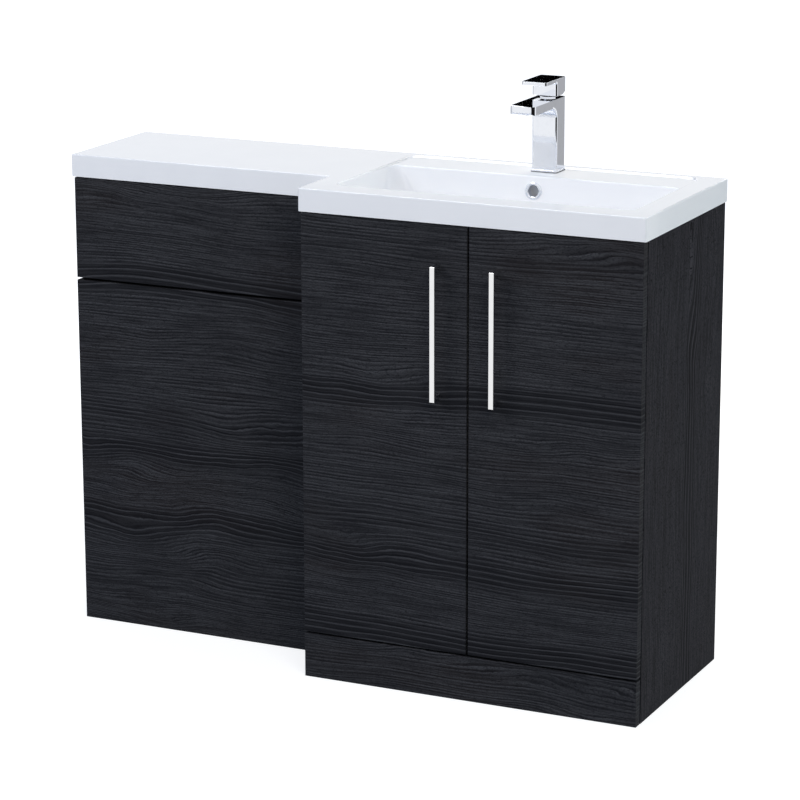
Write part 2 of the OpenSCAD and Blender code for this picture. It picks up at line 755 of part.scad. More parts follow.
// ---------------------------------------------------------------- tap
tap_y = -tap_back - tap_d / 2;
gasket_t = 1;
gasket_over = 0.3;
foot_t = 3;                            // flange round the foot of the tap
foot_over = 1;
foot_over_y = 2.5;
tap_z0 = ledge_z + gasket_t;
tap_top = ledge_z + tap_h;
tap_corner = 5;
tip_round = 5;
spout_root = 18;                       // radius of the blend under the spout
tap_front_y = tap_y - tap_d / 2;
tap_back_y = tap_y + tap_d / 2;
tap_x0 = basin_mid - tap_w / 2;
tap_x1 = basin_mid + tap_w / 2;
shank_r = tap_hole_d / 2 - 1.5;
shank_len = plate_t - 1;
inlet_d = 9;
inlet_len = 20;
inlet_spots = [[-9, 1], [9, 1]];     // from the tap's axis
stud_r = 4;
stud_y = tap_y - 9;
cartridge_r = cartridge_d / 2 - 0.1;
cart_floor = tap_top - 28;
waterway_r = 4.5;
aerator_r = 11;
aerator_y = tap_front_y - spout_reach + 20;
carrier_r = 12;
lever_pivot_z = tap_top - 10;
collar_rise = 1.8;

// side view of the body and spout, drawn forward of the body's back face and up from the ledge
module tap_profile() {
    h = tap_top - tap_z0;
    tip = tap_d + spout_reach;
    low = h - spout_t;
    square([tap_d, h]);
    // spout, with a rounded lower corner at its tip
    translate([0, low]) square([tip - tip_round, spout_t]);
    translate([0, low + tip_round]) square([tip, spout_t - tip_round]);
    translate([tip - tip_round, low + tip_round]) circle(tip_round);
    // blend under the root of the spout
    difference() {
        translate([tap_d - 1, low - spout_root]) square([spout_root + 1, spout_root + 1]);
        translate([tap_d + spout_root, low - spout_root]) circle(spout_root);
    }
}

module tap_body() {
    color("gainsboro") placed() difference() {
        union() {
            intersection() {
                translate([tap_x1, tap_back_y, tap_z0]) rotate([90, 0, -90])
                    linear_extrude(tap_w) tap_profile();
                slab(tap_x0, tap_x1, tap_front_y - spout_reach, tap_back_y, tap_corner,
                    tap_z0 - 1, tap_top + 1);
            }
            slab(tap_x0 - foot_over, tap_x1 + foot_over, tap_front_y - foot_over_y, tap_back_y + foot_over_y,
                tap_corner, tap_z0, tap_z0 + foot_t);
            rod_z([basin_mid, tap_y, tap_z0 + 1], shank_r, -shank_len - 1);
        }
        // seat of the cartridge, with the waterway that leads to the aerator
        rod_z([basin_mid, tap_y, cart_floor], cartridge_d / 2 + 0.15, 40);
        rod_y([basin_mid, tap_y, tap_top - spout_t / 2 - 0.5], waterway_r, aerator_y - tap_y - 3);
        rod_z([basin_mid, aerator_y, tap_top - spout_t - 1], aerator_r + run_clear, 7.5);
        // threaded inlets and the hole of the fixing stud in the underside
        for (s = inlet_spots)
            rod_z([basin_mid + s[0], tap_y + s[1], tap_z0 - shank_len - 1], inlet_d / 2, inlet_len + 1);
        rod_z([basin_mid, stud_y, tap_z0 - shank_len - 1], stud_r + run_clear, inlet_len + 1);
    }
}

module tap_gasket() {
    color("#202020") placed() difference() {
        slab(tap_x0 - foot_over - gasket_over, tap_x1 + foot_over + gasket_over,
            tap_front_y - foot_over_y - gasket_over, tap_back_y + foot_over_y + gasket_over,
            tap_corner, ledge_z, tap_z0);
        rod_z([basin_mid, tap_y, ledge_z - 1], shank_r + fit_clear, gasket_t + 2);
    }
}

module tap_aerator() {
    z = tap_top - spout_t;
    color("silver") placed() difference() {
        rod_z([basin_mid, aerator_y, z - 1.5], aerator_r, 7.2);
        rod_z([basin_mid, aerator_y, z - 2], aerator_r - 2, 4);
        for (ring = [[0, 1], [3, 6], [6, 12]], i = [0 : ring[1] - 1])
            rotate_about([basin_mid, aerator_y], i * 360 / ring[1])
                rod_z([basin_mid + ring[0], aerator_y, z], 0.8, 7, $fn = 16);
    }
}

module rotate_about(p, a) { translate([p.x, p.y, 0]) rotate(a) translate([-p.x, -p.y, 0]) children(); }

// hollow cartridge, open at the top where the spindle comes out
module tap_cartridge() {
    color("white") placed() difference() {
        rod_z([basin_mid, tap_y, cart_floor], cartridge_r, 25);
        rod_z([basin_mid, tap_y, cart_floor + 8], carrier_r + fit_clear, 14);
        rod_z([basin_mid, tap_y, cart_floor + 21], 10.5, 6);
        for (a = [30, 150, 270]) rotate_about([basin_mid, tap_y], a)
            rod_z([basin_mid + 7, tap_y, cart_floor - 1], 2.5, 6, $fn = 24);
    }
}

// screwed collar that keeps the cartridge down, seen in the gap under the lever
module cartridge_collar() {
    z = cart_floor + 25;
    color("gainsboro") placed() difference() {
        union() {
            rod_z([basin_mid, tap_y, z], cartridge_r, tap_top - z);
            rod_z([basin_mid, tap_y, tap_top - 0.5], 15.5, collar_rise + 0.5);
        }
        rod_z([basin_mid, tap_y, z - 1], 11.5, 10);
    }
}

spindle_slot = 9;
module cartridge_carrier() {
    color("ivory") placed() difference() {
        rod_z([basin_mid, tap_y, cart_floor + 8 + fit_clear], carrier_r, 12.5);
        box([basin_mid - spindle_slot / 2, tap_y - tap_d / 2, lever_pivot_z - 6],
            [basin_mid + spindle_slot / 2, tap_y + tap_d / 2, tap_top]);
    }
    // pin on which the spindle tilts
    color("silver") placed() rod_x([basin_mid - carrier_r + 2, tap_y, lever_pivot_z], 1.5, 2 * carrier_r - 4);
}

spindle_r = 4.6;
lever_z0 = tap_top + lever_gap;
lever_top = lever_z0 + lever_h;
spindle_top = lever_top - lever_plate - 4;
grub_r = 2;
grub_z = lever_z0 + 13;

// spindle with two flats at its foot, which is hung on the carrier's pin
module tap_spindle() {
    flat = spindle_slot / 2 - 0.3;
    color("silver") placed() difference() {
        rod_z([basin_mid, tap_y, lever_pivot_z - 4], spindle_r, spindle_top - lever_pivot_z + 4);
        for (side = [-1, 1]) translate([basin_mid + side * (flat + 2), tap_y, lever_pivot_z])
            cube([4, 12, 14], center = true);
        rod_x([basin_mid - 10, tap_y, lever_pivot_z], 1.5 + run_clear, 20);
        // flat that the grub screw bears on
        box([basin_mid - 6, tap_y + spindle_r - 0.6, grub_z - 4], [basin_mid + 6, tap_y + 8, grub_z + 4]);
    }
}

// side view of the lever, drawn forward of its back face and up from its underside
module lever_profile() {
    difference() {
        union() {
            square([tap_d, lever_h]);
            translate([0, lever_h - lever_plate]) square([tap_d + lever_reach, lever_plate]);
            translate([tap_d, lever_h - lever_plate - 4]) square(4 + tiny);
        }
        // relief at the back, which lets the lever tilt over the body
        polygon([[-1, -1], [13, -1], [13, 0], [0, 5.5], [-1, 5.5]]);
        translate([tap_d + 4, lever_h - lever_plate - 4]) circle(4);
    }
}

module tap_lever() {
    color("gainsboro") placed() difference() {
        intersection() {
            translate([tap_x1, tap_back_y, lever_z0]) rotate([90, 0, -90])
                linear_extrude(tap_w) lever_profile();
            slab(tap_x0, tap_x1, tap_front_y - lever_reach, tap_back_y, 2.5, lever_z0 - 1, lever_top + 1);
        }
        // hollow over the collar, and the socket of the spindle
        rod_z([basin_mid, tap_y, lever_z0 - 1], 14.5, 9);
        rod_z([basin_mid, tap_y, lever_z0], spindle_r + run_clear, spindle_top - lever_z0 + 0.3);
        rod_y([basin_mid, tap_y, grub_z], grub_r + run_clear, tap_d);
    }
}

// grub screw that holds the lever on the spindle, driven from the back
module lever_grub_screw() {
    color("silver") placed() difference() {
        rod_y([basin_mid, tap_y + spindle_r - 0.6, grub_z], grub_r, 8);
        rod_y([basin_mid, tap_y + spindle_r + 4.4, grub_z], 1.2, 4, $fn = 6);
    }
}

fixing_z = ledge_z - plate_t;          // underside of the ledge round the tap hole
rubber_t = 3;
washer_t = 2.5;
nut_h = 8;
stud_drop = 62;                        // how far the stud hangs below the ledge
module tap_stud() {
    z0 = fixing_z - stud_drop;
    color("silver") placed() rod_z([basin_mid, stud_y, z0], stud_r, tap_z0 - shank_len + inlet_len - 2 - z0);
}

// horseshoe plate with a hole for the stud, open where the tails come down
module horseshoe(z, r, t) {
    placed() difference() {
        rod_z([basin_mid, tap_y, z], r, -t);
        box([basin_mid - 16, tap_y - 4, z - t - 1], [basin_mid + 16, tap_y + 30, z + 1]);
        rod_z([basin_mid, stud_y, z + 1], stud_r + 0.2, -t - 2);
    }
}
module tap_fixing_pad() { color("#303030") horseshoe(fixing_z, 26.5, rubber_t); }
module tap_fixing_washer() { color("silver") horseshoe(fixing_z - rubber_t, 25.5, washer_t); }

module tap_fixing_nut() {
    color("goldenrod") placed() difference() {
        rod_z([basin_mid, stud_y, fixing_z - rubber_t - washer_t], 7.5, -nut_h, $fn = 6);
        rod_z([basin_mid, stud_y, fixing_z], stud_r + run_clear, -40);
    }
}

// ---------------------------------------------------------------- waste and overflow
flange_t = 2;
waste_r = waste_d / 2;
waste_wall = 2.2;
waste_top = bowl_floor_z;
waste_low = waste_top - waste_len;
plug_t = 3;
plug_gap = 1.5;
guide_r = 4;
guide_z = waste_top - 26;
relief_t = 2;                          // groove that ends the thread of the tail
relief_depth = 1;
tail_len = 39;                         // free thread for the trap's nut

module waste_body() {
    color("gainsboro") placed() translate([basin_mid, bowl_mid_y, 0]) difference() {
        union() {
            rotate_extrude() polygon([[waste_r - waste_wall, waste_low],
                [waste_r, waste_low], [waste_r, waste_low + tail_len],
                [waste_r - relief_depth, waste_low + tail_len],
                [waste_r - relief_depth, waste_low + tail_len + relief_t],
                [waste_r, waste_low + tail_len + relief_t], [waste_r, waste_top - flange_t],
                [waste_flange_d / 2, waste_top - flange_t], [waste_flange_d / 2, waste_top - 0.8],
                [waste_r - waste_wall + 2, waste_top], [waste_r - waste_wall, waste_top - 1.5]]);
            // cross guide for the plug's stem
            for (a = [0, 90]) rotate(a) translate([0, 0, guide_z + 2])
                cube([2 * waste_r - waste_wall, 4, 4], center = true);
            rod_z([0, 0, guide_z - 8], guide_r + 3, 12);
        }
        rod_z([0, 0, guide_z - 9], guide_r + run_clear, 20);
        // overflow slots level with the duct in the basin
        for (a = [0, 60, 120]) rotate(a)
            translate([0, 0, duct_low_z + duct_t / 2]) cube([2 * waste_r + 4, 9, 8], center = true);
    }
}

seal_t = 3;
module waste_seal() {
    color("#303030") placed() translate([basin_mid, bowl_mid_y, 0]) difference() {
        rod_z([0, 0, boss_low], waste_boss_r - 4, -seal_t);
        rod_z([0, 0, boss_low + 1], waste_r + fit_clear, -seal_t - 2);
    }
}

module waste_back_nut() {
    color("whitesmoke") placed() translate([basin_mid, bowl_mid_y, 0]) difference() {
        union() {
            rod_z([0, 0, boss_low - seal_t], waste_boss_r - 5, -3);
            rod_z([0, 0, boss_low - seal_t - 3], waste_boss_r - 7, -8, $fn = 6);
            for (a = [0 : 60 : 300]) rotate(a)
                translate([waste_boss_r - 9, 0, boss_low - seal_t - 7]) cube([6, 4, 8], center = true);
        }
        rod_z([0, 0, boss_low], waste_r + run_clear, -20);
    }
}

plug_r = waste_flange_d / 2 - 1.5;
stem_len = plug_gap + waste_top - guide_z + 13;

// domed cap and stem in one turned piece
module waste_plug() {
    color("gainsboro") placed() translate([basin_mid, bowl_mid_y, waste_top + plug_gap]) rotate_extrude()
        polygon([[0, -stem_len], [guide_r - 0.8, -stem_len], [guide_r, 0.8 - stem_len], [guide_r, 0],
            [plug_r - 2, 0], [plug_r, 1], [plug_r - 0.4, 2.2], [plug_r - 3, plug_t],
            [plug_r - 12, plug_t + 1.2], [4, plug_t + 1.8], [0, plug_t + 1.8]]);
}

module waste_plug_seal() {
    color("#303030") placed() translate([basin_mid, bowl_mid_y, waste_top + plug_gap]) difference() {
        rod_z([0, 0, 0], waste_r + 1, -plug_gap + fit_clear);
        rod_z([0, 0, 1], guide_r + run_clear, -4);
    }
}

// ring lining the overflow hole, with four notches in its lip
module overflow_ring() {
    r = overflow_d / 2 - 2 * run_clear;
    color("gainsboro") placed() at_overflow() difference() {
        rotate_extrude() polygon([[r - 2.5, 0], [r - 2.2, -1.4], [r - 0.6, -2.4], [r + 1, -2.6],
            [r + 2.6, -1.8], [r + 3, 0], [r, 0], [r, 13], [r - 1.4, 13], [r - 1.4, 2], [r - 2.5, 2]]);
        for (a = [30, 150, 210, 330]) rotate(a) translate([r - 2.5, 0, -2]) cube([2.6, 5, 6], center = true);
    }
}

worktop_basin();
basin_side_left();
basin_side_right();
basin_base_panel();
basin_front_rail();
basin_back_rail_upper();
basin_back_rail_lower();
shelf();
shelf_studs();
plinth_board();
plinth_blocks();
wc_side_left();
wc_side_right();
wc_top_rail();
wc_middle_rail();
wc_bottom_rail();
wc_back_rail();
wc_lower_panel();
wc_access_panel();
lower_panel_studs();
access_panel_studs();
panel_sockets();
cabinet_connectors();
wall_brackets();
wall_bracket_screws();
left_door();
right_door();
left_handle();
right_handle();
left_door_screws();
right_door_screws();
left_hinge_cups();
right_hinge_cups();
left_hinge_links();
right_hinge_links();
hinge_arms();
hinge_plates();
hinge_screws();
left_door_buffers();
right_door_buffers();
tap_body();
tap_gasket();
tap_aerator();
tap_cartridge();
cartridge_collar();
cartridge_carrier();
tap_spindle();
tap_lever();
lever_grub_screw();
tap_stud();
tap_fixing_pad();
tap_fixing_washer();
tap_fixing_nut();
waste_body();
waste_seal();
waste_back_nut();
waste_plug();
waste_plug_seal();
overflow_ring();
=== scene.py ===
"""Looks of a toilet and basin combination unit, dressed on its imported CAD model.

Sizes are written in millimetres in the unit's own layout: x from its left end, y from the wall
(negative towards the front) and z from the floor. Datum turns them into the shared frame.
"""

import json
import logging
import math
from dataclasses import dataclass, field
from enum import Enum
from typing import Any, Callable, Iterable, Mapping, Sequence

import bmesh
import bpy
from mathutils import Matrix, Vector


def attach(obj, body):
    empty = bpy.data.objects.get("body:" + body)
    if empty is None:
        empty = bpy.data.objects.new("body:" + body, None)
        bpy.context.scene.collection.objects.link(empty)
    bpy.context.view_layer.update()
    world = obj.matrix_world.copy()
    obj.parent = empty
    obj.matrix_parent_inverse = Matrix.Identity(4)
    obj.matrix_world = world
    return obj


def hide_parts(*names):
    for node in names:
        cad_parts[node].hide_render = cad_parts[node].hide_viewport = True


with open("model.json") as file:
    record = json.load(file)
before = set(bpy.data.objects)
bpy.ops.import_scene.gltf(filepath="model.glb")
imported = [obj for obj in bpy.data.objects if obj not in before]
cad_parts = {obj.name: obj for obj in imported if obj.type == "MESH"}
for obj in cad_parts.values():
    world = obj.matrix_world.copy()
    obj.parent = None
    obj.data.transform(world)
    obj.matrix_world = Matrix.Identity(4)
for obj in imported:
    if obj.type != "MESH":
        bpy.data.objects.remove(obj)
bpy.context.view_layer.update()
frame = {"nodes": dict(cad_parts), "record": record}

LOG = logging.getLogger("combination_unit")
MM = 0.001
Colour = tuple[float, float, float]
Spot = tuple[float, float, float]
EdgeTest = Callable[[bmesh.types.BMEdge], bool]


@dataclass(frozen=True)
class Datum:
    """Where the unit's left end, wall and floor lie in the shared frame.

    Attributes:
        left: distance from the left end to the frame's origin.
        wall: distance from the origin to the wall.
    """

    left: float = 550.0
    wall: float = 198.25

    def at(self, x: float, y: float, z: float) -> Vector:
        """Returns a spot of the layout as metres in the shared frame."""
        return Vector((x - self.left, y + self.wall, z)) * MM


DATUM = Datum()


# ------------------------------------------------------------------ finishes
class Value:
    """A socket that takes part in Python sums, where each sum adds its node."""

    def __init__(self, graph: "Graph", socket: bpy.types.NodeSocket) -> None:
        """Wraps a socket.

        Args:
            graph: the node graph that the socket belongs to.
            socket: the output to read.
        """
        self.graph = graph
        self.socket = socket

    def __add__(self, other: Any) -> "Value":
        """Adds two values."""
        return self.graph.sum("ADD", self, other)

    def __radd__(self, other: Any) -> "Value":
        """Adds a value to a number."""
        return self.graph.sum("ADD", other, self)

    def __sub__(self, other: Any) -> "Value":
        """Takes a value from this one."""
        return self.graph.sum("SUBTRACT", self, other)

    def __rsub__(self, other: Any) -> "Value":
        """Takes this value from a number."""
        return self.graph.sum("SUBTRACT", other, self)

    def __mul__(self, other: Any) -> "Value":
        """Multiplies two values."""
        return self.graph.sum("MULTIPLY", self, other)

    def __rmul__(self, other: Any) -> "Value":
        """Multiplies a number by this value."""
        return self.graph.sum("MULTIPLY", other, self)

    def __pow__(self, other: Any) -> "Value":
        """Raises this value to a power."""
        return self.graph.sum("POWER", self, other)

    def part(self) -> "Value":
        """Returns the fraction of this value."""
        return self.graph.sum("FRACT", self)

    def whole(self) -> "Value":
        """Returns this value rounded down."""
        return self.graph.sum("FLOOR", self)


class Graph:
    """A node tree that finishes draw in."""

    def __init__(self, tree: bpy.types.NodeTree) -> None:
        """Empties a node tree for drawing.

        Args:
            tree: the tree of a material or world.
        """
        self.tree = tree
        tree.nodes.clear()

    def node(
        self, kind: str, settings: Mapping[str, Any] | None = None, sockets: Mapping[Any, Any] | None = None
    ) -> bpy.types.Node:
        """Adds a node.

        Args:
            kind: the node's type, such as "ShaderNodeMix".
            settings: the node's own settings, which are set first.
            sockets: numbers, colours or links for its inputs, by name or index.

        Returns:
            The new node.
        """
        made = self.tree.nodes.new(kind)
        for name, value in (settings or {}).items():
            setattr(made, name, value)
        for name, value in (sockets or {}).items():
            link = value.socket if isinstance(value, Value) else value
            if isinstance(link, bpy.types.NodeSocket):
                self.tree.links.new(link, made.inputs[name])
            else:
                made.inputs[name].default_value = value
        return made

    def value(self, kind: str, out: Any, settings: Mapping[str, Any] | None = None, **sockets: Any) -> Value:
        """Adds a node and reads one of its outputs.

        Args:
            kind: the node's type.
            out: the output's name or index.
            settings: the node's own settings.
            **sockets: its inputs, with spaces in their names written as underscores.

        Returns:
            The output as a value.
        """
        named = {name.replace("_", " "): value for name, value in sockets.items()}
        return Value(self, self.node(kind, settings, named).outputs[out])

    def sum(self, operation: str, *terms: Any) -> Value:
        """Adds a Math node.

        Args:
            operation: what the node does.
            *terms: its numbers or values.

        Returns:
            The result.
        """
        made = self.node("ShaderNodeMath", {"operation": operation}, dict(enumerate(terms)))
        return Value(self, made.outputs[0])

    def place(self) -> tuple[Value, Value, Value]:
        """Returns the surface's own x, y and z in metres."""
        spot = self.value("ShaderNodeTexCoord", "Object")
        made = self.node("ShaderNodeSeparateXYZ", None, {0: spot})
        return tuple(Value(self, out) for out in made.outputs)

    def vector(self, x: Any, y: Any, z: Any) -> Value:
        """Returns three values as one vector."""
        return Value(self, self.node("ShaderNodeCombineXYZ", None, {0: x, 1: y, 2: z}).outputs[0])

    def noise(self, vector: Value, detail: float = 2.0, rough: float = 0.5, scale: float = 1.0) -> Value:
        """Returns soft noise of about 0 to 1 at a vector.

        Args:
            vector: where it is read.
            detail: how many finer layers it has.
            rough: how strong the finer layers are.
            scale: how fine it is.
        """
        return self.value(
            "ShaderNodeTexNoise", 0, None, Vector=vector, Scale=scale, Detail=detail, Roughness=rough
        )

    def noise_line(self, along: Value, scale: float, detail: float = 1.0) -> Value:
        """Returns soft noise of one number.

        Args:
            along: the number.
            scale: how fine it is.
            detail: how many finer layers it has.
        """
        return self.value(
            "ShaderNodeTexNoise", 0, {"noise_dimensions": "1D"}, W=along, Scale=scale, Detail=detail
        )

    def step(self, value: Value, low: float, high: float, first: float = 0.0, last: float = 1.0) -> Value:
        """Returns a smooth step.

        Args:
            value: what is read.
            low: where the step starts.
            high: where it ends.
            first: the result before it.
            last: the result after it.
        """
        made = self.node(
            "ShaderNodeMapRange", {"interpolation_type": "SMOOTHSTEP"}, {0: value, 1: low, 2: high, 3: first, 4: last}
        )
        return Value(self, made.outputs[0])

    def blend(self, mask: Value, first: Any, second: Any) -> Value:
        """Mixes two colours.

        Args:
            mask: 0 for the first colour and 1 for the second.
            first: a colour or a value.
            second: a colour or a value.

        Returns:
            The mixed colour.
        """
        pair = [(*c, 1.0) if isinstance(c, tuple) else c for c in (first, second)]
        made = self.node("ShaderNodeMix", {"data_type": "RGBA"}, {0: mask, 6: pair[0], 7: pair[1]})
        return Value(self, made.outputs[2])

    def dents(self, height: Value, depth: float, strength: float = 1.0) -> Value:
        """Returns a normal that is pushed about by a height.

        Args:
            height: 0 to 1.
            depth: what 1 stands for, in metres.
            strength: how much it counts.
        """
        return self.value("ShaderNodeBump", 0, None, Height=height, Distance=depth, Strength=strength)


class Surface:
    """A material in the making."""

    def __init__(self, name: str) -> None:
        """Starts a material.

        Args:
            name: the material's name.
        """
        self.material = bpy.data.materials.new(name)
        self.material.use_nodes = True
        self.graph = Graph(self.material.node_tree)

    def close(self, **sockets: Any) -> bpy.types.Material:
        """Adds the shader and returns the material.

        Args:
            **sockets: the shader's inputs, with spaces in their names written as underscores.

        Returns:
            The finished material.
        """
        named = {
            name.replace("_", " "): (*value, 1.0) if isinstance(value, tuple) else value
            for name, value in sockets.items()
        }
        shader = self.graph.node("ShaderNodeBsdfPrincipled", None, named)
        self.graph.node("ShaderNodeOutputMaterial", None, {"Surface": shader.outputs[0]})
        return self.material


class Grain(Enum):
    """Which way the wood grain runs."""

    LEVEL = "level"
    UPRIGHT = "upright"


@dataclass(frozen=True)
class Woodgrain:
    """Charcoal board with a wavy, brushed wood grain.

    Attributes:
        name: the material's name.
        grain: which way the lines run.
        shift: moves the pattern along, across and into the board, in metres.
        ground: the colour between the lines.
        deep: the colour of the darkest bands, specks and pores, and of the painted shade just past each line.
        warm: the colour of the faint warm clouds.
        line: the colour of the raised lines, which also carries their painted highlight.
        rings: lines to the metre.
        sway: how far the lines wander, in metres.
        eyes: how strongly they part round eyes and peaks, in metres.
        contrast: how strongly the lines show.
        shade: scales each colour of the board, where 1 is the doors' tone; on the upright-grain boards it makes a
            darker, less green copy of the same board, as painted shade.
    """

    name: str
    grain: Grain = Grain.LEVEL
    shift: Spot = (0.0, 0.0, 0.0)
    ground: Colour = (0.0188, 0.0193, 0.0223)
    deep: Colour = (0.0061, 0.0063, 0.0080)
    warm: Colour = (0.0215, 0.0180, 0.0183)
    line: Colour = (0.0620, 0.0630, 0.0690)
    rings: float = 185
    sway: float = 0.05
    eyes: float = 0.08
    contrast: float = 1.0
    shade: Colour = (1.0, 1.0, 1.0)

    def build(self) -> bpy.types.Material:
        """Returns the material."""
        surface = Surface(self.name)
        g = surface.graph
        plain, deep, warm, line = (
            tuple(a * b for a, b in zip(self.shade, colour)) for colour in (self.ground, self.deep, self.warm, self.line)
        )
        x, y, z = g.place()
        along, across, into = (x, z, y) if self.grain is Grain.LEVEL else (z, y, x)
        along, across, into = along + self.shift[0], across + self.shift[1], into + self.shift[2]
        wander = g.noise(g.vector(along * 1.3, across * 3.2, into * 2.0), 1.0, 0.4) - 0.5
        eyes = g.noise(g.vector(along * 4.2, across * 11.0, into * 3.0), 1.0, 0.4) - 0.5
        ripple = g.noise(g.vector(along * 26.0, across * 60.0, into * 6.0), 2.0, 0.6) - 0.5
        stir = g.step(g.noise(g.vector(along * 1.6, across * 6.0, into * 2.0), 1.0), 0.46, 0.62, 0.2, 1.0)
        level = across + wander * self.sway + eyes * stir * self.eyes + stir * ripple * 0.0055
        rings = level * self.rings + g.noise_line(level, 5.5) * 24.0
        open_ground = g.step(g.noise_line(level - 0.004, 5.5) - g.noise_line(level + 0.004, 5.5), 0.004, 0.026)
        place = rings.part()
        # Each line rises slowly and drops sharply, with a dark band just past it. These are the board's grain lines,
        # drawn also as the painted highlight and painted shade of a raised line.
        ridge = g.step(place, 0.25 + open_ground * 0.35, 0.88) * g.step(place, 0.88, 1.0, 1.0, 0.0)
        trough_shade = g.step(place, 0.0, 0.35, 1.0, 0.0)
        boldness = g.step(g.noise_line(rings.whole(), 0.73, 0.0), 0.36, 0.62, 0.35, 1.0)
        fading = g.step(g.noise(g.vector(along * 7.0, across * 16.0, into * 3.0), 2.0), 0.34, 0.58, 0.45, 1.0)
        strength = g.sum("MAXIMUM", boldness * fading, open_ground * 0.75)
        fibre = g.noise(g.vector(along * 12.0, level * 420.0, into * 420.0), 2.0, 0.65)
        fleck = g.noise(g.vector(along * 330.0, level * 1000.0, into * 1000.0), 1.0)
        pores = g.step(g.noise(g.vector(along * 90.0, level * 1500.0, into * 1500.0), 1.0), 0.56, 0.68)
        cloud = g.noise(g.vector(along * 2.6, across * 6.5, into * 3.0), 2.0)
        ground = g.blend(g.step(cloud, 0.5, 0.68) * 0.6, plain, warm)
        # Darkens the gaps between line groups, and adds painted shade just past each line.
        ground = g.blend(open_ground * 0.45 + trough_shade * strength * 0.5, ground, deep)
        lines = g.step(fibre, 0.40, 0.66) * (0.55 - open_ground * 0.35)
        ground = g.blend(lines * self.contrast, ground, line)
        # Lightens the grain lines, together with their painted highlight.
        colour = g.blend(ridge * strength * self.contrast, ground, line)
        specks = g.step(fleck, 0.48, 0.70) * 0.5 + pores * 0.5
        colour = g.blend(specks * (1.0 - open_ground * 0.6) * self.contrast, colour, deep)
        height = ridge * strength * 0.6 + fibre * 0.4 - pores * 0.4
        return surface.close(
            Base_Color=colour,
            Roughness=0.5 + fibre * 0.2,
            Specular_IOR_Level=0.015,
            Normal=g.dents(height, 0.0005, 0.7),
        )


@dataclass(frozen=True)
class GlossMoulding:
    """White cast resin with a glossy skin that is very slightly uneven.

    Attributes:
        name: the material's name.
        white: its colour.
        shade: the colour of its faintest clouds.
    """

    name: str
    white: Colour = (0.895, 0.900, 0.915)
    shade: Colour = (0.880, 0.886, 0.902)

    def build(self) -> bpy.types.Material:
        """Returns the material."""
        surface = Surface(self.name)
        g = surface.graph
        spot = g.vector(*g.place())
        cloud = g.noise(spot, 2.0, 0.5, 14.0)
        skin = g.noise(spot, 2.0, 0.5, 60.0)
        return surface.close(
            Base_Color=g.blend(g.step(cloud, 0.35, 0.7), self.white, self.shade),
            Roughness=0.06 + skin * 0.05,
            IOR=1.5,
            Specular_IOR_Level=0.5,
            Normal=g.dents(skin, 0.00004, 0.3),
        )


@dataclass(frozen=True)
class PolishedPlate:
    """Mirror plating with faint water marks and wipes.

    Attributes:
        name: the material's name.
        colour: its reflection colour.
        dull: how matt it is where it is cleanest.
    """

    name: str
    colour: Colour = (0.83, 0.855, 0.91)
    dull: float = 0.03

    def build(self) -> bpy.types.Material:
        """Returns the material."""
        surface = Surface(self.name)
        g = surface.graph
        spot = g.vector(*g.place())
        wipe = g.noise(spot, 3.0, 0.6, 90.0)
        marks = g.step(g.noise(spot, 1.0, 0.5, 420.0), 0.66, 0.74)
        darker = tuple(0.95 * c for c in self.colour)
        return surface.close(
            Base_Color=g.blend(g.step(wipe, 0.45, 0.75) * 0.6, self.colour, darker),
            Metallic=1.0,
            Roughness=self.dull + wipe * 0.025 + marks * 0.03,
        )


@dataclass(frozen=True)
class PressedMetal:
    """Plated or turned metal with fine drawn lines and dull spots.

    Attributes:
        name: the material's name.
        colour: its reflection colour.
        tarnish: the colour of its dull spots.
        dull: its roughness.
        lines: how finely it is drawn, in lines to the metre.
    """

    name: str
    colour: Colour
    tarnish: Colour
    dull: float = 0.28
    lines: float = 1400.0

    def build(self) -> bpy.types.Material:
        """Returns the material."""
        surface = Surface(self.name)
        g = surface.graph
        x, y, z = g.place()
        drawn = g.noise(g.vector(x * 60.0, y * 60.0, z * self.lines), 1.0)
        spots = g.step(g.noise(g.vector(x, y, z), 3.0, 0.6, 160.0), 0.5, 0.75)
        return surface.close(
            Base_Color=g.blend(spots * 0.7, self.colour, self.tarnish),
            Metallic=1.0,
            Roughness=self.dull + spots * 0.14 + drawn * 0.08,
            Normal=g.dents(drawn, 0.00003, 0.35),
        )


@dataclass(frozen=True)
class Moulded:
    """Moulded plastic or rubber with a fine skin.

    Attributes:
        name: the material's name.
        colour: its colour.
        worn: the colour where it is a little worn.
        dull: its roughness.
        skin: how fine its skin is.
    """

    name: str
    colour: Colour
    worn: Colour
    dull: float = 0.35
    skin: float = 700.0

    def build(self) -> bpy.types.Material:
        """Returns the material."""
        surface = Surface(self.name)
        g = surface.graph
        spot = g.vector(*g.place())
        cloud = g.noise(spot, 2.0, 0.5, 45.0)
        grit = g.noise(spot, 2.0, 0.6, self.skin)
        return surface.close(
            Base_Color=g.blend(g.step(cloud, 0.35, 0.7), self.colour, self.worn),
            Roughness=self.dull + grit * 0.12,
            Specular_IOR_Level=0.4,
            Normal=g.dents(grit, 0.00005, 0.3),
        )


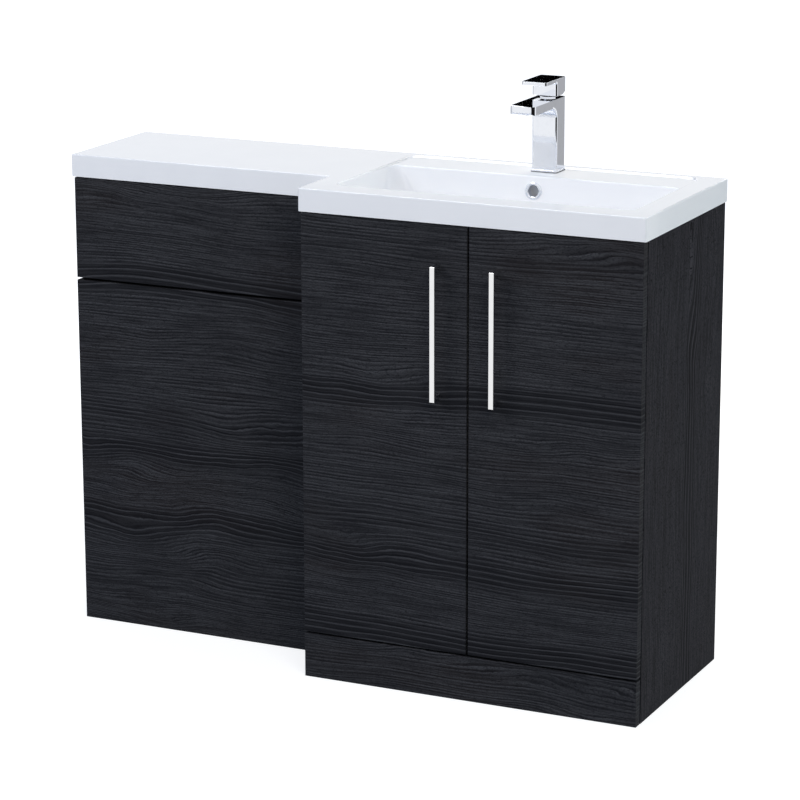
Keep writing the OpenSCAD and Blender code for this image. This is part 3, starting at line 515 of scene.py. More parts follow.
class Palette:
    """The finishes, one for each slot, and the boards' own cuts of the woodgrain."""

    def __init__(self) -> None:
        """Mixes every finish once."""
        whites = [
            GlossMoulding("polymarble"),
            PolishedPlate("tap_chrome"),
            PolishedPlate("handle_chrome", (0.84, 0.845, 0.855), 0.07),
            PressedMetal("nickel_steel", (0.56, 0.55, 0.53), (0.40, 0.39, 0.37), 0.22),
            PressedMetal("zinc_steel", (0.50, 0.51, 0.53), (0.33, 0.34, 0.35), 0.34),
            PressedMetal("brass", (0.62, 0.44, 0.17), (0.38, 0.25, 0.10), 0.26),
            Moulded("white_plastic", (0.76, 0.76, 0.74), (0.68, 0.68, 0.66)),
            Moulded("clear_pad", (0.60, 0.61, 0.60), (0.52, 0.53, 0.52), 0.25, 400.0),
            Moulded("black_rubber", (0.012, 0.012, 0.012), (0.020, 0.020, 0.020), 0.6, 1100.0),
        ]
        self.ready = {finish.name: finish.build() for finish in whites}

    def pick(self, slot: str) -> bpy.types.Material:
        """Returns the finish of a slot."""
        return self.ready[slot]

    def board(
        self, name: str, grain: Grain, shift: Spot, contrast: float = 1.0, shade: Colour = (1.0, 1.0, 1.0)
    ) -> bpy.types.Material:
        """Cuts a board's own stretch of woodgrain.

        Args:
            name: the material's name.
            grain: which way its lines run.
            shift: which stretch of the pattern it shows.
            contrast: how strongly its lines show.
            shade: scales its colours; on the upright-grain boards it is painted shade on a copy of the same board.

        Returns:
            The board's material, made once for each name.
        """
        if name not in self.ready:
            self.ready[name] = Woodgrain(name, grain, shift, contrast=contrast, shade=shade).build()
        return self.ready[name]


# ------------------------------------------------------------------ solids
def upright(edge: bmesh.types.BMEdge) -> bool:
    """Tells whether an edge stands upright."""
    way = edge.verts[1].co - edge.verts[0].co
    return abs(way.x) + abs(way.y) < 1e-4 and abs(way.z) > 1e-4


def sharp(edge: bmesh.types.BMEdge, least: float = 35.0) -> bool:
    """Tells whether an edge's faces meet at an angle.

    Args:
        edge: the edge.
        least: the smallest angle that counts, in degrees.
    """
    return len(edge.link_faces) == 2 and math.degrees(edge.calc_face_angle(0.0)) > least


def middle(edge: bmesh.types.BMEdge) -> Vector:
    """Returns the middle of an edge."""
    return (edge.verts[0].co + edge.verts[1].co) / 2


@dataclass(frozen=True)
class Ring:
    """One level of a lofted hollow: a rectangle with rounded corners.

    Attributes:
        x0, x1: its left and right sides.
        y0, y1: its front and back.
        z: its height.
        front: the radius of its front corners.
        back: the radius of its back corners.
    """

    x0: float
    x1: float
    y0: float
    y1: float
    z: float
    front: float
    back: float


class Solid:
    """A closed shape in the unit's layout, made and cut with mesh operators."""

    def __init__(self) -> None:
        """Starts an empty shape."""
        self.mesh = bmesh.new()

    @classmethod
    def block(cls, low: Sequence[float], high: Sequence[float]) -> "Solid":
        """Makes a block between two corners.

        Args:
            low: its lowest corner.
            high: its highest corner.

        Returns:
            The block.
        """
        made = cls()
        bmesh.ops.create_cube(made.mesh, size=1.0)
        low, high = Vector(low), Vector(high)
        bmesh.ops.scale(made.mesh, vec=high - low, verts=made.mesh.verts)
        bmesh.ops.translate(made.mesh, vec=(low + high) / 2, verts=made.mesh.verts)
        return made

    @classmethod
    def rod(cls, start: Sequence[float], way: Sequence[float], radius: float, sides: int = 96) -> "Solid":
        """Makes a round rod.

        Args:
            start: the middle of its first end.
            way: from there to the middle of its other end.
            radius: its radius.
            sides: how many sides stand for the round.

        Returns:
            The rod.
        """
        made = cls()
        way = Vector(way)
        turn = way.to_track_quat("Z", "Y").to_matrix().to_4x4()
        bmesh.ops.create_cone(
            made.mesh, cap_ends=True, segments=sides, radius1=radius, radius2=radius, depth=way.length,
            matrix=Matrix.Translation(Vector(start) + way / 2) @ turn,
        )
        return made

    @classmethod
    def drawn(cls, outline: Iterable[Sequence[float]], way: Sequence[float]) -> "Solid":
        """Makes a flat outline and draws it out along a line.

        Args:
            outline: the corners of the outline, in order.
            way: how far it is drawn out.

        Returns:
            The shape.
        """
        made = cls()
        face = made.mesh.faces.new([made.mesh.verts.new(p) for p in outline])
        grown = bmesh.ops.extrude_face_region(made.mesh, geom=[face])["geom"]
        bmesh.ops.translate(made.mesh, vec=way, verts=[v for v in grown if isinstance(v, bmesh.types.BMVert)])
        return made.mended()

    @classmethod
    def lofted(cls, rings: Sequence[Ring], corner: int = 14) -> "Solid":
        """Makes a form that runs smoothly through a stack of rings.

        Args:
            rings: the levels, from one end to the other.
            corner: how many steps each corner has.

        Returns:
            The form, closed at both ends.
        """
        made = cls()
        loops: list[list[bmesh.types.BMEdge]] = []
        for number, ring in enumerate(rings):
            before = set(made.mesh.faces)
            corners = bmesh.ops.create_grid(made.mesh, x_segments=1, y_segments=1, size=0.5)["verts"]
            front = [v for v in corners if v.co.y < 0]
            back = [v for v in corners if v.co.y > 0]
            for v in corners:
                v.co = (ring.x0 if v.co.x < 0 else ring.x1, ring.y0 if v.co.y < 0 else ring.y1, ring.z)
            for group, radius in ((front, ring.front), (back, ring.back)):
                bmesh.ops.bevel(
                    made.mesh, geom=group, offset=radius, segments=corner, profile=0.5, affect="VERTICES", material=-1
                )
            face = next(f for f in made.mesh.faces if f not in before)
            loops.append(list(face.edges))
            if 0 < number < len(rings) - 1:
                bmesh.ops.delete(made.mesh, geom=[face], context="FACES_ONLY")
        for first, second in zip(loops, loops[1:]):
            bmesh.ops.bridge_loops(made.mesh, edges=first + second)
        return made.mended()

    @classmethod
    def turned(cls, profile: Iterable[tuple[float, float]], steps: int = 72) -> "Solid":
        """Turns a profile about the upright axis.

        Args:
            profile: radius and height of each of its points, in order.
            steps: how many steps a full turn has.

        Returns:
            The turned form, standing on the axis at 0, 0.
        """
        made = cls()
        points = [made.mesh.verts.new((r, 0.0, h)) for r, h in profile]
        edges = [made.mesh.edges.new(pair) for pair in zip(points, points[1:])]
        bmesh.ops.spin(
            made.mesh, geom=points + edges, cent=(0, 0, 0), axis=(0, 0, 1), dvec=(0, 0, 0),
            angle=2 * math.pi, steps=steps, use_merge=True,
        )
        return made.mended()

    def mended(self) -> "Solid":
        """Merges doubled corners and turns every face outwards."""
        bmesh.ops.remove_doubles(self.mesh, verts=self.mesh.verts, dist=1e-4)
        bmesh.ops.recalc_face_normals(self.mesh, faces=self.mesh.faces)
        return self

    def rounded(self, test: EdgeTest, radius: float, steps: int = 4) -> "Solid":
        """Rounds the edges that pass a test.

        Args:
            test: says which edges.
            radius: how far the rounding reaches.
            steps: how many steps it has.

        Returns:
            This shape.
        """
        bmesh.ops.bevel(
            self.mesh, geom=[e for e in self.mesh.edges if test(e)], offset=radius, offset_type="OFFSET",
            segments=steps, profile=0.5, affect="EDGES", clamp_overlap=True, material=-1,
        )
        return self.mended()

    def moved(self, way: Sequence[float], tilt: float = 0.0) -> "Solid":
        """Tilts this shape about the x axis at its own origin and then moves it.

        Args:
            way: how far it moves.
            tilt: how far it tilts, in degrees.

        Returns:
            This shape.
        """
        place = Matrix.Translation(Vector(way)) @ Matrix.Rotation(math.radians(tilt), 4, "X")
        bmesh.ops.transform(self.mesh, matrix=place, verts=self.mesh.verts)
        return self

    def spun(self, angle: float) -> "Solid":
        """Turns this shape about the upright axis at its own origin.

        Args:
            angle: how far, in degrees.

        Returns:
            This shape.
        """
        bmesh.ops.rotate(
            self.mesh, cent=(0, 0, 0), matrix=Matrix.Rotation(math.radians(angle), 3, "Z"), verts=self.mesh.verts
        )
        return self

    def _as_object(self, name: str) -> bpy.types.Object:
        """Returns this shape as an object for a moment's use, under a name."""
        data = bpy.data.meshes.new(name)
        self.mesh.to_mesh(data)
        made = bpy.data.objects.new(name, data)
        bpy.context.scene.collection.objects.link(made)
        return made

    def _combined(self, others: Iterable["Solid"], operation: str) -> "Solid":
        """Joins or cuts this shape with others.

        Args:
            others: the other shapes.
            operation: UNION, INTERSECT or DIFFERENCE.

        Returns:
            This shape.
        """
        host = self._as_object("host")
        tools = [other._as_object(f"tool_{i}") for i, other in enumerate(others)]
        for tool in tools:
            step = host.modifiers.new("shape", "BOOLEAN")
            step.operation, step.solver, step.object = operation, "EXACT", tool
        shown = host.evaluated_get(bpy.context.evaluated_depsgraph_get())
        data = bpy.data.meshes.new_from_object(shown)
        self.mesh.clear()
        self.mesh.from_mesh(data)
        for gone in [host, *tools]:
            bpy.data.meshes.remove(gone.data)
        bpy.data.meshes.remove(data)
        return self.mended()

    def joined(self, *others: "Solid") -> "Solid":
        """Joins other shapes to this one."""
        return self._combined(others, "UNION")

    def shared(self, *others: "Solid") -> "Solid":
        """Keeps what this shape shares with others."""
        return self._combined(others, "INTERSECT")

    def cut(self, *others: "Solid") -> "Solid":
        """Cuts other shapes out of this one."""
        return self._combined(others, "DIFFERENCE")

    def piece(
        self, name: str, finish: bpy.types.Material, body: str, slot: str, stands_for: str, crease: float = 32.0
    ) -> bpy.types.Object:
        """Puts this shape in the scene as a finished piece.

        Args:
            name: the piece's name.
            finish: its material.
            body: the moving body that it rides on.
            slot: the record's material slot; not used.
            stands_for: the CAD node that it replaces.
            crease: the smallest angle that stays a crease, in degrees.

        Returns:
            The piece.
        """
        bmesh.ops.translate(self.mesh, vec=DATUM.at(0, 0, 0) / MM, verts=self.mesh.verts)
        bmesh.ops.scale(self.mesh, vec=(MM, MM, MM), verts=self.mesh.verts)
        data = bpy.data.meshes.new(name)
        self.mesh.to_mesh(data)
        self.mesh.free()
        data.polygons.foreach_set("use_smooth", [True] * len(data.polygons))
        data.set_sharp_from_angle(angle=math.radians(crease))
        data.materials.append(finish)
        made = bpy.data.objects.new(name, data)
        bpy.context.scene.collection.objects.link(made)
        evening = made.modifiers.new("even_light", "WEIGHTED_NORMAL")
        evening.keep_sharp = True
        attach(made, body)
        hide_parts(stands_for)
        LOG.info("%s: %d faces, rides on %s", name, len(data.polygons), body)
        return made


# ------------------------------------------------------------------ the moulded top
@dataclass
class MouldedTop:
    """The one-piece white top: a shelf over the pan unit and a basin with its bowl.

    Attributes:
        palette: the finishes.
        width, depth: its whole size on plan.
        shelf_width, shelf_depth: the shallower part over the pan unit.
        top, edge: the height of its upper face and the depth of its edge.
        skirt, plate: how thick its edge walls and its flat parts are.
        corner, soft: how its upright corners and its long edges are rounded.
        rim_side, rim_front, rim_back: the flat rim round the recess.
        drop, slope: how far the tap ledge lies below the rim, and the slope behind it.
        ledge: how far from the wall the ledge ends.
        deep: the bowl's depth.
        lip: how the bowl's upper edges are rounded.
    """

    palette: Palette
    width: float = 1100.0
    depth: float = 373.0
    shelf_width: float = 496.0
    shelf_depth: float = 256.0
    top: float = 834.0
    edge: float = 38.5
    skirt: float = 14.0
    plate: float = 14.0
    corner: float = 3.5
    soft: float = 2.0
    rim_side: float = 41.0
    rim_front: float = 51.0
    rim_back: float = 14.0
    drop: float = 2.5
    slope: float = 8.0
    ledge: float = 104.0
    deep: float = 105.0
    wall: float = 8.0
    lip: float = 1.6
    middle_x: float = 798.0
    tap_y: float = -44.0
    overflow_drop: float = 27.0
    bowl_line: tuple[tuple[float, float, float], ...] = (
        (0.0, 0.0, 16.0), (0.42, 6.0, 40.0), (0.7, 13.0, 58.0), (0.86, 21.0, 66.0), (0.95, 34.0, 66.0), (1.0, 58.0, 48.0)
    )

    @property
    def floor(self) -> float:
        """The height of the bowl's floor."""
        return self.top - self.deep

    @property
    def bowl_y(self) -> float:
        """The middle of the bowl, front to back."""
        return (-(self.depth - self.rim_front) - self.ledge) / 2

    def lean(self, part: float) -> tuple[float, float]:
        """Reads the bowl's wall line, smoothed between its stations.

        Args:
            part: how deep, from 0 at the rim to 1 at the floor.

        Returns:
            The inset of the wall and the radius of its corners.
        """
        line = self.bowl_line
        at = next(i for i in range(len(line) - 1) if part <= line[i + 1][0] or i == len(line) - 2)
        a, b = line[at], line[at + 1]
        before, after = line[max(at - 1, 0)], line[min(at + 2, len(line) - 1)]
        t = (part - a[0]) / (b[0] - a[0])
        found = []
        for k in (1, 2):
            rise = (b[k] - a[k]) / (b[0] - a[0])
            into = (b[k] - before[k]) / (b[0] - before[0]) if at else rise
            out = (after[k] - a[k]) / (after[0] - a[0]) if at < len(line) - 2 else rise * 1.7
            span = b[0] - a[0]
            h00, h10 = 2 * t**3 - 3 * t**2 + 1, t**3 - 2 * t**2 + t
            h01, h11 = -2 * t**3 + 3 * t**2, t**3 - t**2
            found.append(h00 * a[k] + h10 * span * into + h01 * b[k] + h11 * span * out)
        return found[0], found[1]

    def _ring(self, z: float, side: float, back: float, front_r: float, back_r: float) -> Ring:
        """Returns one level of the hollow.

        Args:
            z: its height.
            side: how far it is inside the rim at the front and sides.
            back: where its back lies.
            front_r: the radius of its front corners.
            back_r: the radius of its back corners.
        """
        return Ring(
            self.shelf_width + self.rim_side + side, self.width - self.rim_side - side,
            -(self.depth - self.rim_front) + side, back, z, front_r, back_r,
        )

    def hollow(self) -> Solid:
        """Returns the recess, the soft slope behind the ledge and the bowl as one form."""
        rings = []
        for up in (3.0, 0.0):
            out = self.lip
            rings.append(self._ring(self.top + up, -out, -self.rim_back + 0.3 * out, 16 + out, 26 + out))
        for step in range(1, 6):
            turn = math.radians(90 - 18 * step)
            out, down = self.lip * (1 - math.cos(turn)), self.lip * (1 - math.sin(turn)) * 0.9
            back = -self.rim_back + 0.3 * out - self.slope * down / self.drop
            rings.append(self._ring(self.top - down, -out, back, 16 + out, 26 + out))
        foot, base = self.top - self.lip * 0.9, self.top - self.drop
        for step in range(1, 9):
            part = step / 8
            curve = 1 - math.sqrt(1 - min(part, 0.999) ** 2)
            level = foot - (foot - base) * part
            back = -self.rim_back - self.slope * (self.top - level) / self.drop
            rings.append(self._ring(level, 0.9 * curve, back, 16, 26))
        nose = 3.0
        for step in range(0, 7):
            turn = math.radians(90 - 15 * step)
            out, down = nose * (1 - math.cos(turn)), nose * (1 - math.sin(turn))
            inset, radius = self.lean((self.drop + down) / self.deep)
            rings.append(
                self._ring(base - down, inset + 0.9, -self.ledge - inset * 0.6 + out, max(radius, 16), max(radius, 16))
            )
        depth = self.drop + nose
        for step in range(1, 31):
            part = depth / self.deep + (1 - depth / self.deep) * math.sin(math.pi / 2 * step / 30)
            inset, radius = self.lean(part)
            rings.append(
                self._ring(self.top - part * self.deep, inset + 0.9 * (1 - part), -self.ledge - inset * 0.6, radius, radius)
            )
        return Solid.lofted(rings)

    def shell(self) -> Solid:
        """Returns the outside of the bowl, under the top."""
        rings = []
        for step in range(0, 21):
            part = math.sin(math.pi / 2 * step / 20)
            inset, radius = self.lean(part)
            grown = radius + self.wall * (1 - part)
            ring = self._ring(
                self.top - self.wall - part * self.deep, inset - self.wall, -self.ledge - inset * 0.6 + self.wall,
                grown, grown,
            )
            rings.append(ring)
        return Solid.lofted(rings, 10)

    def slab(self) -> Solid:
        """Returns the L-shaped slab with its rounded edges."""
        low = self.top - self.edge
        w, d, sw, sd = self.width, self.depth, self.shelf_width, self.shelf_depth
        outline = [(0, -sd, low), (sw, -sd, low), (sw, -d, low), (w, -d, low), (w, 0, low), (0, 0, low)]
        made = Solid.drawn(outline, (0, 0, self.edge))
        made.rounded(upright, self.corner, 6)
        made.rounded(lambda e: sharp(e) and abs(middle(e).z - self.top) < 1e-3, self.soft, 5)
        return made.rounded(lambda e: sharp(e) and abs(middle(e).z - low) < 1e-3, 0.8, 2)

    def build(self) -> None:
        """Makes the top and puts it in the scene."""
        low, ceiling = self.top - self.edge, self.top - self.drop - self.plate
        x, y, floor = self.middle_x, self.bowl_y, self.floor
        boss_low = floor - 26.0
        duct_back = -self.ledge + self.wall + 10.0
        over_z = self.top - self.overflow_drop
        made = self.slab().cut(
            Solid.block(
                (self.shelf_width + self.skirt + 4, -self.depth + self.skirt, low - 5),
                (self.width - self.skirt, -self.skirt, ceiling),
            ),
            Solid.block(
                (self.skirt, -self.shelf_depth + self.skirt, low - 5),
                (self.shelf_width - self.skirt, -self.skirt, ceiling),
            ),
        )
        half = self.shelf_width / 2
        made.joined(
            Solid.block((half - 6, -self.shelf_depth + self.skirt - 1, low + 6), (half + 6, -self.skirt + 1, ceiling + 6)),
            self.shell(),
            Solid.rod((x, y, boss_low), (0, 0, 25), 36.0),
            Solid.block((x - 21, -self.ledge, boss_low), (x + 21, duct_back + 6, over_z + 18)),
            Solid.block((x - 21, y, boss_low + 0.01), (x + 21, -self.ledge + 2, floor - 1)),
        )
        lean = math.degrees(math.atan(6 * 0.6 / (0.42 * self.deep)))
        over_y = -self.ledge - self.overflow_drop * math.tan(math.radians(lean))
        made.cut(
            self.hollow(),
            Solid.rod((x, self.tap_y, self.top), (0, 0, -self.plate - 8), 17.5),
            Solid.rod((x, y, floor + 2), (0, 0, -30), 22.5),
            Solid.rod((x, y, floor - 2), (0, 0, 8), 31.8),
            Solid.rod((0, 0, -6), (0, 0, 6 + self.wall + 10), 12.0).moved((x, over_y, over_z), -90 - lean),
            Solid.block((x - 15, duct_back - 10, boss_low + 6), (x + 15, duct_back, over_z + 12)),
            Solid.block((x - 15, y, boss_low + 6), (x + 15, duct_back - 0.01, boss_low + 16)),
        )
        made.piece("moulded_top", self.palette.pick("polymarble"), "unit", "polymarble", "worktop_basin")


# ------------------------------------------------------------------ the tap
@dataclass
class LeverTap:
    """The single-lever tap: a square body with a flat spout, and a flat lever on top.

    Attributes:
        palette: the finishes.
        x, back: its middle and its back face.
        width, deep: its body on plan.
        base, top: the heights of its foot and of its body's top.
        reach, spout: how far the spout stands out, and its thickness.
        root: the radius of the blend under the spout.
        lever_low, lever_high: the lever's underside and top.
        plate, lever_reach: the lever plate's thickness, and how far it stands out.
    """

    palette: Palette
    x: float = 798.0
    back: float = -25.0
    width: float = 45.0
    deep: float = 38.0
    base: float = 832.5
    top: float = 955.5
    reach: float = 97.0
    spout: float = 14.0
    root: float = 18.0
    lever_low: float = 960.0
    lever_high: float = 988.5
    plate: float = 5.5
    lever_reach: float = 46.0

    @property
    def front(self) -> float:
        """The front face of the body."""
        return self.back - self.deep

    @property
    def axis(self) -> float:
        """The middle of the body, front to back."""
        return self.back - self.deep / 2

    def side_view(self, corners: Sequence[Sequence[float]], rounds: Mapping[int, tuple[float, int]]) -> Solid:
        """Draws a side view out over the tap's width.

        Args:
            corners: distance forward of the back face and height of each corner.
            rounds: radius and steps of the corners that are rounded, by number.

        Returns:
            The drawn form.
        """
        made = Solid()
        points = [made.mesh.verts.new((self.x - self.width / 2 - 1, self.back - out, z)) for out, z in corners]
        made.mesh.faces.new(points)
        for number, (radius, steps) in rounds.items():
            bmesh.ops.bevel(
                made.mesh, geom=[points[number]], offset=radius, segments=steps, profile=0.5,
                affect="VERTICES", material=-1,
            )
        grown = bmesh.ops.extrude_face_region(made.mesh, geom=list(made.mesh.faces))["geom"]
        bmesh.ops.translate(
            made.mesh, vec=(self.width + 2, 0, 0), verts=[v for v in grown if isinstance(v, bmesh.types.BMVert)]
        )
        return made.mended()

    def plan(self, reach: float, back: float, front: float) -> Solid:
        """Returns the upright block that gives a casting its width and its rounded upright corners.

        Args:
            reach: how far it stands forward of the back face.
            back: the radius of its back corners.
            front: the radius of its front corners.
        """
        half = self.width / 2
        block = Solid.block((self.x - half, self.back - reach, self.base - 9), (self.x + half, self.back, self.lever_high + 9))
        block.rounded(lambda e: upright(e) and middle(e).y > self.back - 1, back, 8)
        return block.rounded(lambda e: upright(e) and middle(e).y < self.back - reach + 1, front, 10)

    def flank(self, edge: bmesh.types.BMEdge, root: float, ceiling: float) -> bool:
        """Tells whether an edge runs up a casting's front and round the root of its overhang.

        Args:
            edge: the edge.
            root: the radius of that root.
            ceiling: the height of the overhang's underside.
        """
        spot, way = middle(edge), edge.verts[1].co - edge.verts[0].co
        on_side = abs(abs(spot.x - self.x) - self.width / 2) < 0.01 and abs(way.x) < 1e-3
        near = self.front - root - 0.1 < spot.y < self.front + 0.1
        return on_side and near and spot.z < ceiling + 0.1 and abs(way.z) > 1e-3

    def body(self) -> Solid:
        """Returns the body with its spout, foot, shank and bores."""
        tip, low = self.deep + self.reach, self.top - self.spout
        made = self.side_view(
            [(0, self.base), (0, self.top), (tip, self.top), (tip, low), (self.deep, low), (self.deep, self.base)],
            {3: (5.0, 6), 4: (self.root, 14)},
        )
        made.shared(self.plan(tip, 4.0, 9.0)).rounded(lambda e: self.flank(e, self.root, low), 5.0, 7)
        made.rounded(lambda e: sharp(e, 40.0) and middle(e).z > self.base + 5, 1.0, 3)
        foot = Solid.block(
            (self.x - self.width / 2 - 1, self.front - 2.5, self.base),
            (self.x + self.width / 2 + 1, self.back + 2.5, self.base + 3),
        )
        foot.rounded(upright, 5.0, 7).rounded(lambda e: sharp(e) and middle(e).z > self.base + 2, 0.6, 3)
        made.joined(foot, Solid.rod((self.x, self.axis, self.base + 1), (0, 0, -14), 16.0))
        outlet = self.front - self.reach + 20
        return made.cut(
            Solid.rod((self.x, self.axis, self.top - 28), (0, 0, 40), 17.65),
            Solid.rod((self.x, self.axis, self.top - 7.5), (0, outlet - self.axis - 3, 0), 4.5, 48),
            Solid.rod((self.x, outlet, low - 1), (0, 0, 7.5), 11.05),
            Solid.rod((self.x - 9, self.axis + 1, self.base - 14), (0, 0, 21), 4.5, 48),
            Solid.rod((self.x + 9, self.axis + 1, self.base - 14), (0, 0, 21), 4.5, 48),
            Solid.rod((self.x, self.axis - 9, self.base - 14), (0, 0, 21), 4.05, 48),
        )

    def lever(self) -> Solid:
        """Returns the lever with the hollow over the collar and the spindle's socket."""
        low, high = self.lever_low, self.lever_high
        under = high - self.plate
        made = self.side_view(
            [
                (0, low + 5.5), (0, high), (self.deep + self.lever_reach, high), (self.deep + self.lever_reach, under),
                (self.deep, under), (self.deep, low), (13, low),
            ],
            {4: (4.0, 8)},
        )
        made.shared(self.plan(self.deep + self.lever_reach, 3.0, 4.0)).rounded(lambda e: self.flank(e, 4.0, under), 4.5, 6)
        made.rounded(lambda e: sharp(e, 40.0), 0.9, 3)
        return made.cut(
            Solid.rod((self.x, self.axis, low - 1), (0, 0, 9), 14.5),
            Solid.rod((self.x, self.axis, low), (0, 0, high - self.plate - 4 - low + 0.3), 4.65, 48),
            Solid.rod((self.x, self.axis, low + 13), (0, self.deep, 0), 2.05, 32),
        )

    def build(self) -> None:
        """Makes the tap's two castings and puts them in the scene."""
        chrome = self.palette.pick("tap_chrome")
        self.body().piece("tap_casting", chrome, "unit", "tap_chrome", "tap_body")
        self.lever().piece("lever_casting", chrome, "lever_body", "tap_chrome", "tap_lever")


# ------------------------------------------------------------------ waste and overflow
@dataclass
class WasteAndOverflow:
    """The domed plug over the waste and the ring in the overflow hole.

    Attributes:
        palette: the finishes.
        x, y: the middle of the waste.
        floor: the height of the bowl's floor.
        ring_spot: the middle of the overflow ring on the bowl's back wall.
        lean: how far that wall leans, in degrees.
    """

    palette: Palette
    x: float = 798.0
    y: float = -213.0
    floor: float = 729.0
    ring_spot: Spot = (798.0, -106.2048, 807.0)
    lean: float = 4.6687

    def plug(self) -> Solid:
        """Returns the plug: a shallow dome with a rolled edge on its stem."""
        edge = 30.0
        profile = [(0, -40.5), (3.2, -40.5), (4, -39.7), (4, 0), (edge - 2, 0), (edge - 0.9, 0.25), (edge - 0.25, 0.8)]
        profile += [(edge, 1.45), (edge - 0.35, 2.1), (edge - 1.2, 2.55)]
        profile += [((edge - 1.2) * math.cos(a), 2.55 + 2.2 * math.sin(a)) for a in (math.pi / 20 * i for i in range(1, 10))]
        profile.append((0, 4.75))
        return Solid.turned(profile, 96).moved((self.x, self.y, self.floor + 1.5))

    def ring(self) -> Solid:
        """Returns the overflow ring, with four small notches in its lip."""
        r = 11.9
        lip = [
            (r - 2.5, 0), (r - 2.45, -0.8), (r - 2.1, -1.5), (r - 1.3, -2.1), (r - 0.3, -2.45), (r + 0.8, -2.55),
            (r + 1.8, -2.3), (r + 2.5, -1.75), (r + 2.9, -0.9), (r + 3, 0),
        ]
        made = Solid.turned([*lip, (r, 0), (r, 13), (r - 1.4, 13), (r - 1.4, 2), (r - 2.5, 2), (r - 2.5, 0)], 96)
        notches = [
            Solid.block((r - 3.8, -3.2, -5), (r + 0.8, 3.2, -0.6)).spun(angle) for angle in (30, 150, 210, 330)
        ]
        return made.cut(*notches).moved(self.ring_spot, -90 - self.lean)

    def build(self) -> None:
        """Makes both and puts them in the scene."""
        chrome = self.palette.pick("tap_chrome")
        self.plug().piece("plug_cap", chrome, "plug_body", "tap_chrome", "waste_plug")
        self.ring().piece("overflow_trim", chrome, "unit", "tap_chrome", "overflow_ring")


# ------------------------------------------------------------------ door handles
@dataclass
class BarHandle:
    """A straight D-shaped door handle with a foot at each end.

    Attributes:
        palette: the finishes.
        side: left or right.
        x: its middle.
        width, grip, foot: the bar's width, its thickness and the feet's height.
        low, high: its ends.
        face, reach: the door's face, and how far the bar stands off it.
    """

    palette: Palette
    side: str
    x: float
    width: float = 9.0
    grip: float = 4.0
    foot: float = 10.0
    low: float = 507.3
    high: float = 729.8
    face: float = -371.5
    reach: float = 25.0

    def build(self) -> None:
        """Makes the handle and puts it in the scene."""
        out, inner = self.face - self.reach, self.face - self.reach + self.grip
        x0 = self.x - self.width / 2
        corners = [
            (self.face, self.low), (out, self.low), (out, self.high), (self.face, self.high),
            (self.face, self.high - self.foot), (inner, self.high - self.foot), (inner, self.low + self.foot),
            (self.face, self.low + self.foot),
        ]
        made = Solid.drawn([(x0, y, z) for y, z in corners], (self.width, 0, 0))
        made.rounded(lambda e: sharp(e) and middle(e).y < self.face - 0.5, 0.8, 3)
        made.cut(
            *(
                Solid.rod((self.x, self.face + 1, z), (0, -self.reach + 10, 0), 2.0, 32)
                for z in (self.low + self.foot / 2, self.high - self.foot / 2)
            )
        )
        made.piece(
            f"{self.side}_bar_handle", self.palette.pick("handle_chrome"), f"{self.side}_door_body",
            "handle_chrome", f"{self.side}_handle",
        )


# ------------------------------------------------------------------ CAD nodes that keep their shape
@dataclass
class Cabinets:
    """The boards and fittings whose CAD shapes stay, and are only dressed.

    Attributes:
        palette: the finishes.
        cuts: each woodgrain board's stretch of the pattern.
    """

    palette: Palette
    cuts: Mapping[str, Spot] = field(
        default_factory=lambda: {
            "left_door": (0.0, 0.08, 0.0), "right_door": (0.0, 0.08, 0.0), "plinth_board": (0.31, 0.45, 0.0),
            "wc_lower_panel": (0.62, -0.03, 0.4), "wc_access_panel": (0.62, -0.03, 0.4),
            "basin_side_right": (0.2, 0.54, 0.0), "basin_side_left": (0.5, 1.1, 0.0),
            "wc_side_left": (0.9, 1.7, 0.0), "wc_side_right": (1.3, 2.3, 0.0),
        }
    )

    def _dress(self, node: str, finish: bpy.types.Material) -> None:
        """Puts a finish on every slot of a CAD node.

        Args:
            node: the node's name.
            finish: the material.
        """
        made = frame["nodes"][node]
        for number in range(len(made.material_slots)):
            made.material_slots[number].material = finish
        LOG.info("%s: dressed in %s", node, finish.name)

    def build(self) -> None:
        """Dresses every CAD node in the record, the hidden ones too."""
        for number, part in enumerate(frame["record"]["subparts"]):
            node, slot = part["node"], part["material_slot"]
            if slot in ("grain_level", "grain_upright"):
                level = slot == "grain_level"
                grain, contrast = (Grain.LEVEL, 1.0) if level else (Grain.UPRIGHT, 2.2)
                # The upright-grain boards are the doors' board drawn darker and less green: painted shade against the
                # side lamp's light on them.
                shade = (1.0, 1.0, 1.0) if level else (0.68, 0.66, 0.70)
                finish = self.palette.board(f"{slot}_{node}", grain, self.cuts[node], contrast, shade)
            elif slot == "carcass_board":
                shift = (0.13 * number, 0.29 * number, 0.1)
                finish = self.palette.board(f"carcass_{node}", Grain.LEVEL, shift, 0.5, (0.85, 0.85, 0.85))
            else:
                finish = self.palette.pick(slot)
            self._dress(node, finish)


# ------------------------------------------------------------------ studio and camera
@dataclass(frozen=True)
class Card:
    """A card that only shines or darkens in reflections.

    Attributes:
        name: its name.
        low, high: opposite corners in the shared frame, in metres.
        tone: how bright it is.
    """

    name: str
    low: Spot
    high: Spot
    tone: float

    def build(self) -> None:
        """Hangs the card up."""
        surface = Surface(self.name)
        light = surface.graph.node(
            "ShaderNodeEmission", None, {"Color": (self.tone, self.tone, self.tone * 1.02, 1.0), "Strength": 1.0}
        )
        surface.graph.node("ShaderNodeOutputMaterial", None, {"Surface": light.outputs[0]})
        shape = bmesh.new()
        bmesh.ops.create_cube(shape, size=1.0)
        low, high = Vector(self.low), Vector(self.high)
        bmesh.ops.scale(shape, vec=high - low, verts=shape.verts)
        bmesh.ops.translate(shape, vec=(low + high) / 2, verts=shape.verts)
        data = bpy.data.meshes.new(self.name)
        shape.to_mesh(data)
        shape.free()
        data.materials.append(surface.material)
        made = bpy.data.objects.new(self.name, data)
        bpy.context.scene.collection.objects.link(made)
        made.visible_camera = made.visible_diffuse = made.visible_transmission = False
        made.visible_shadow = made.visible_volume_scatter = False


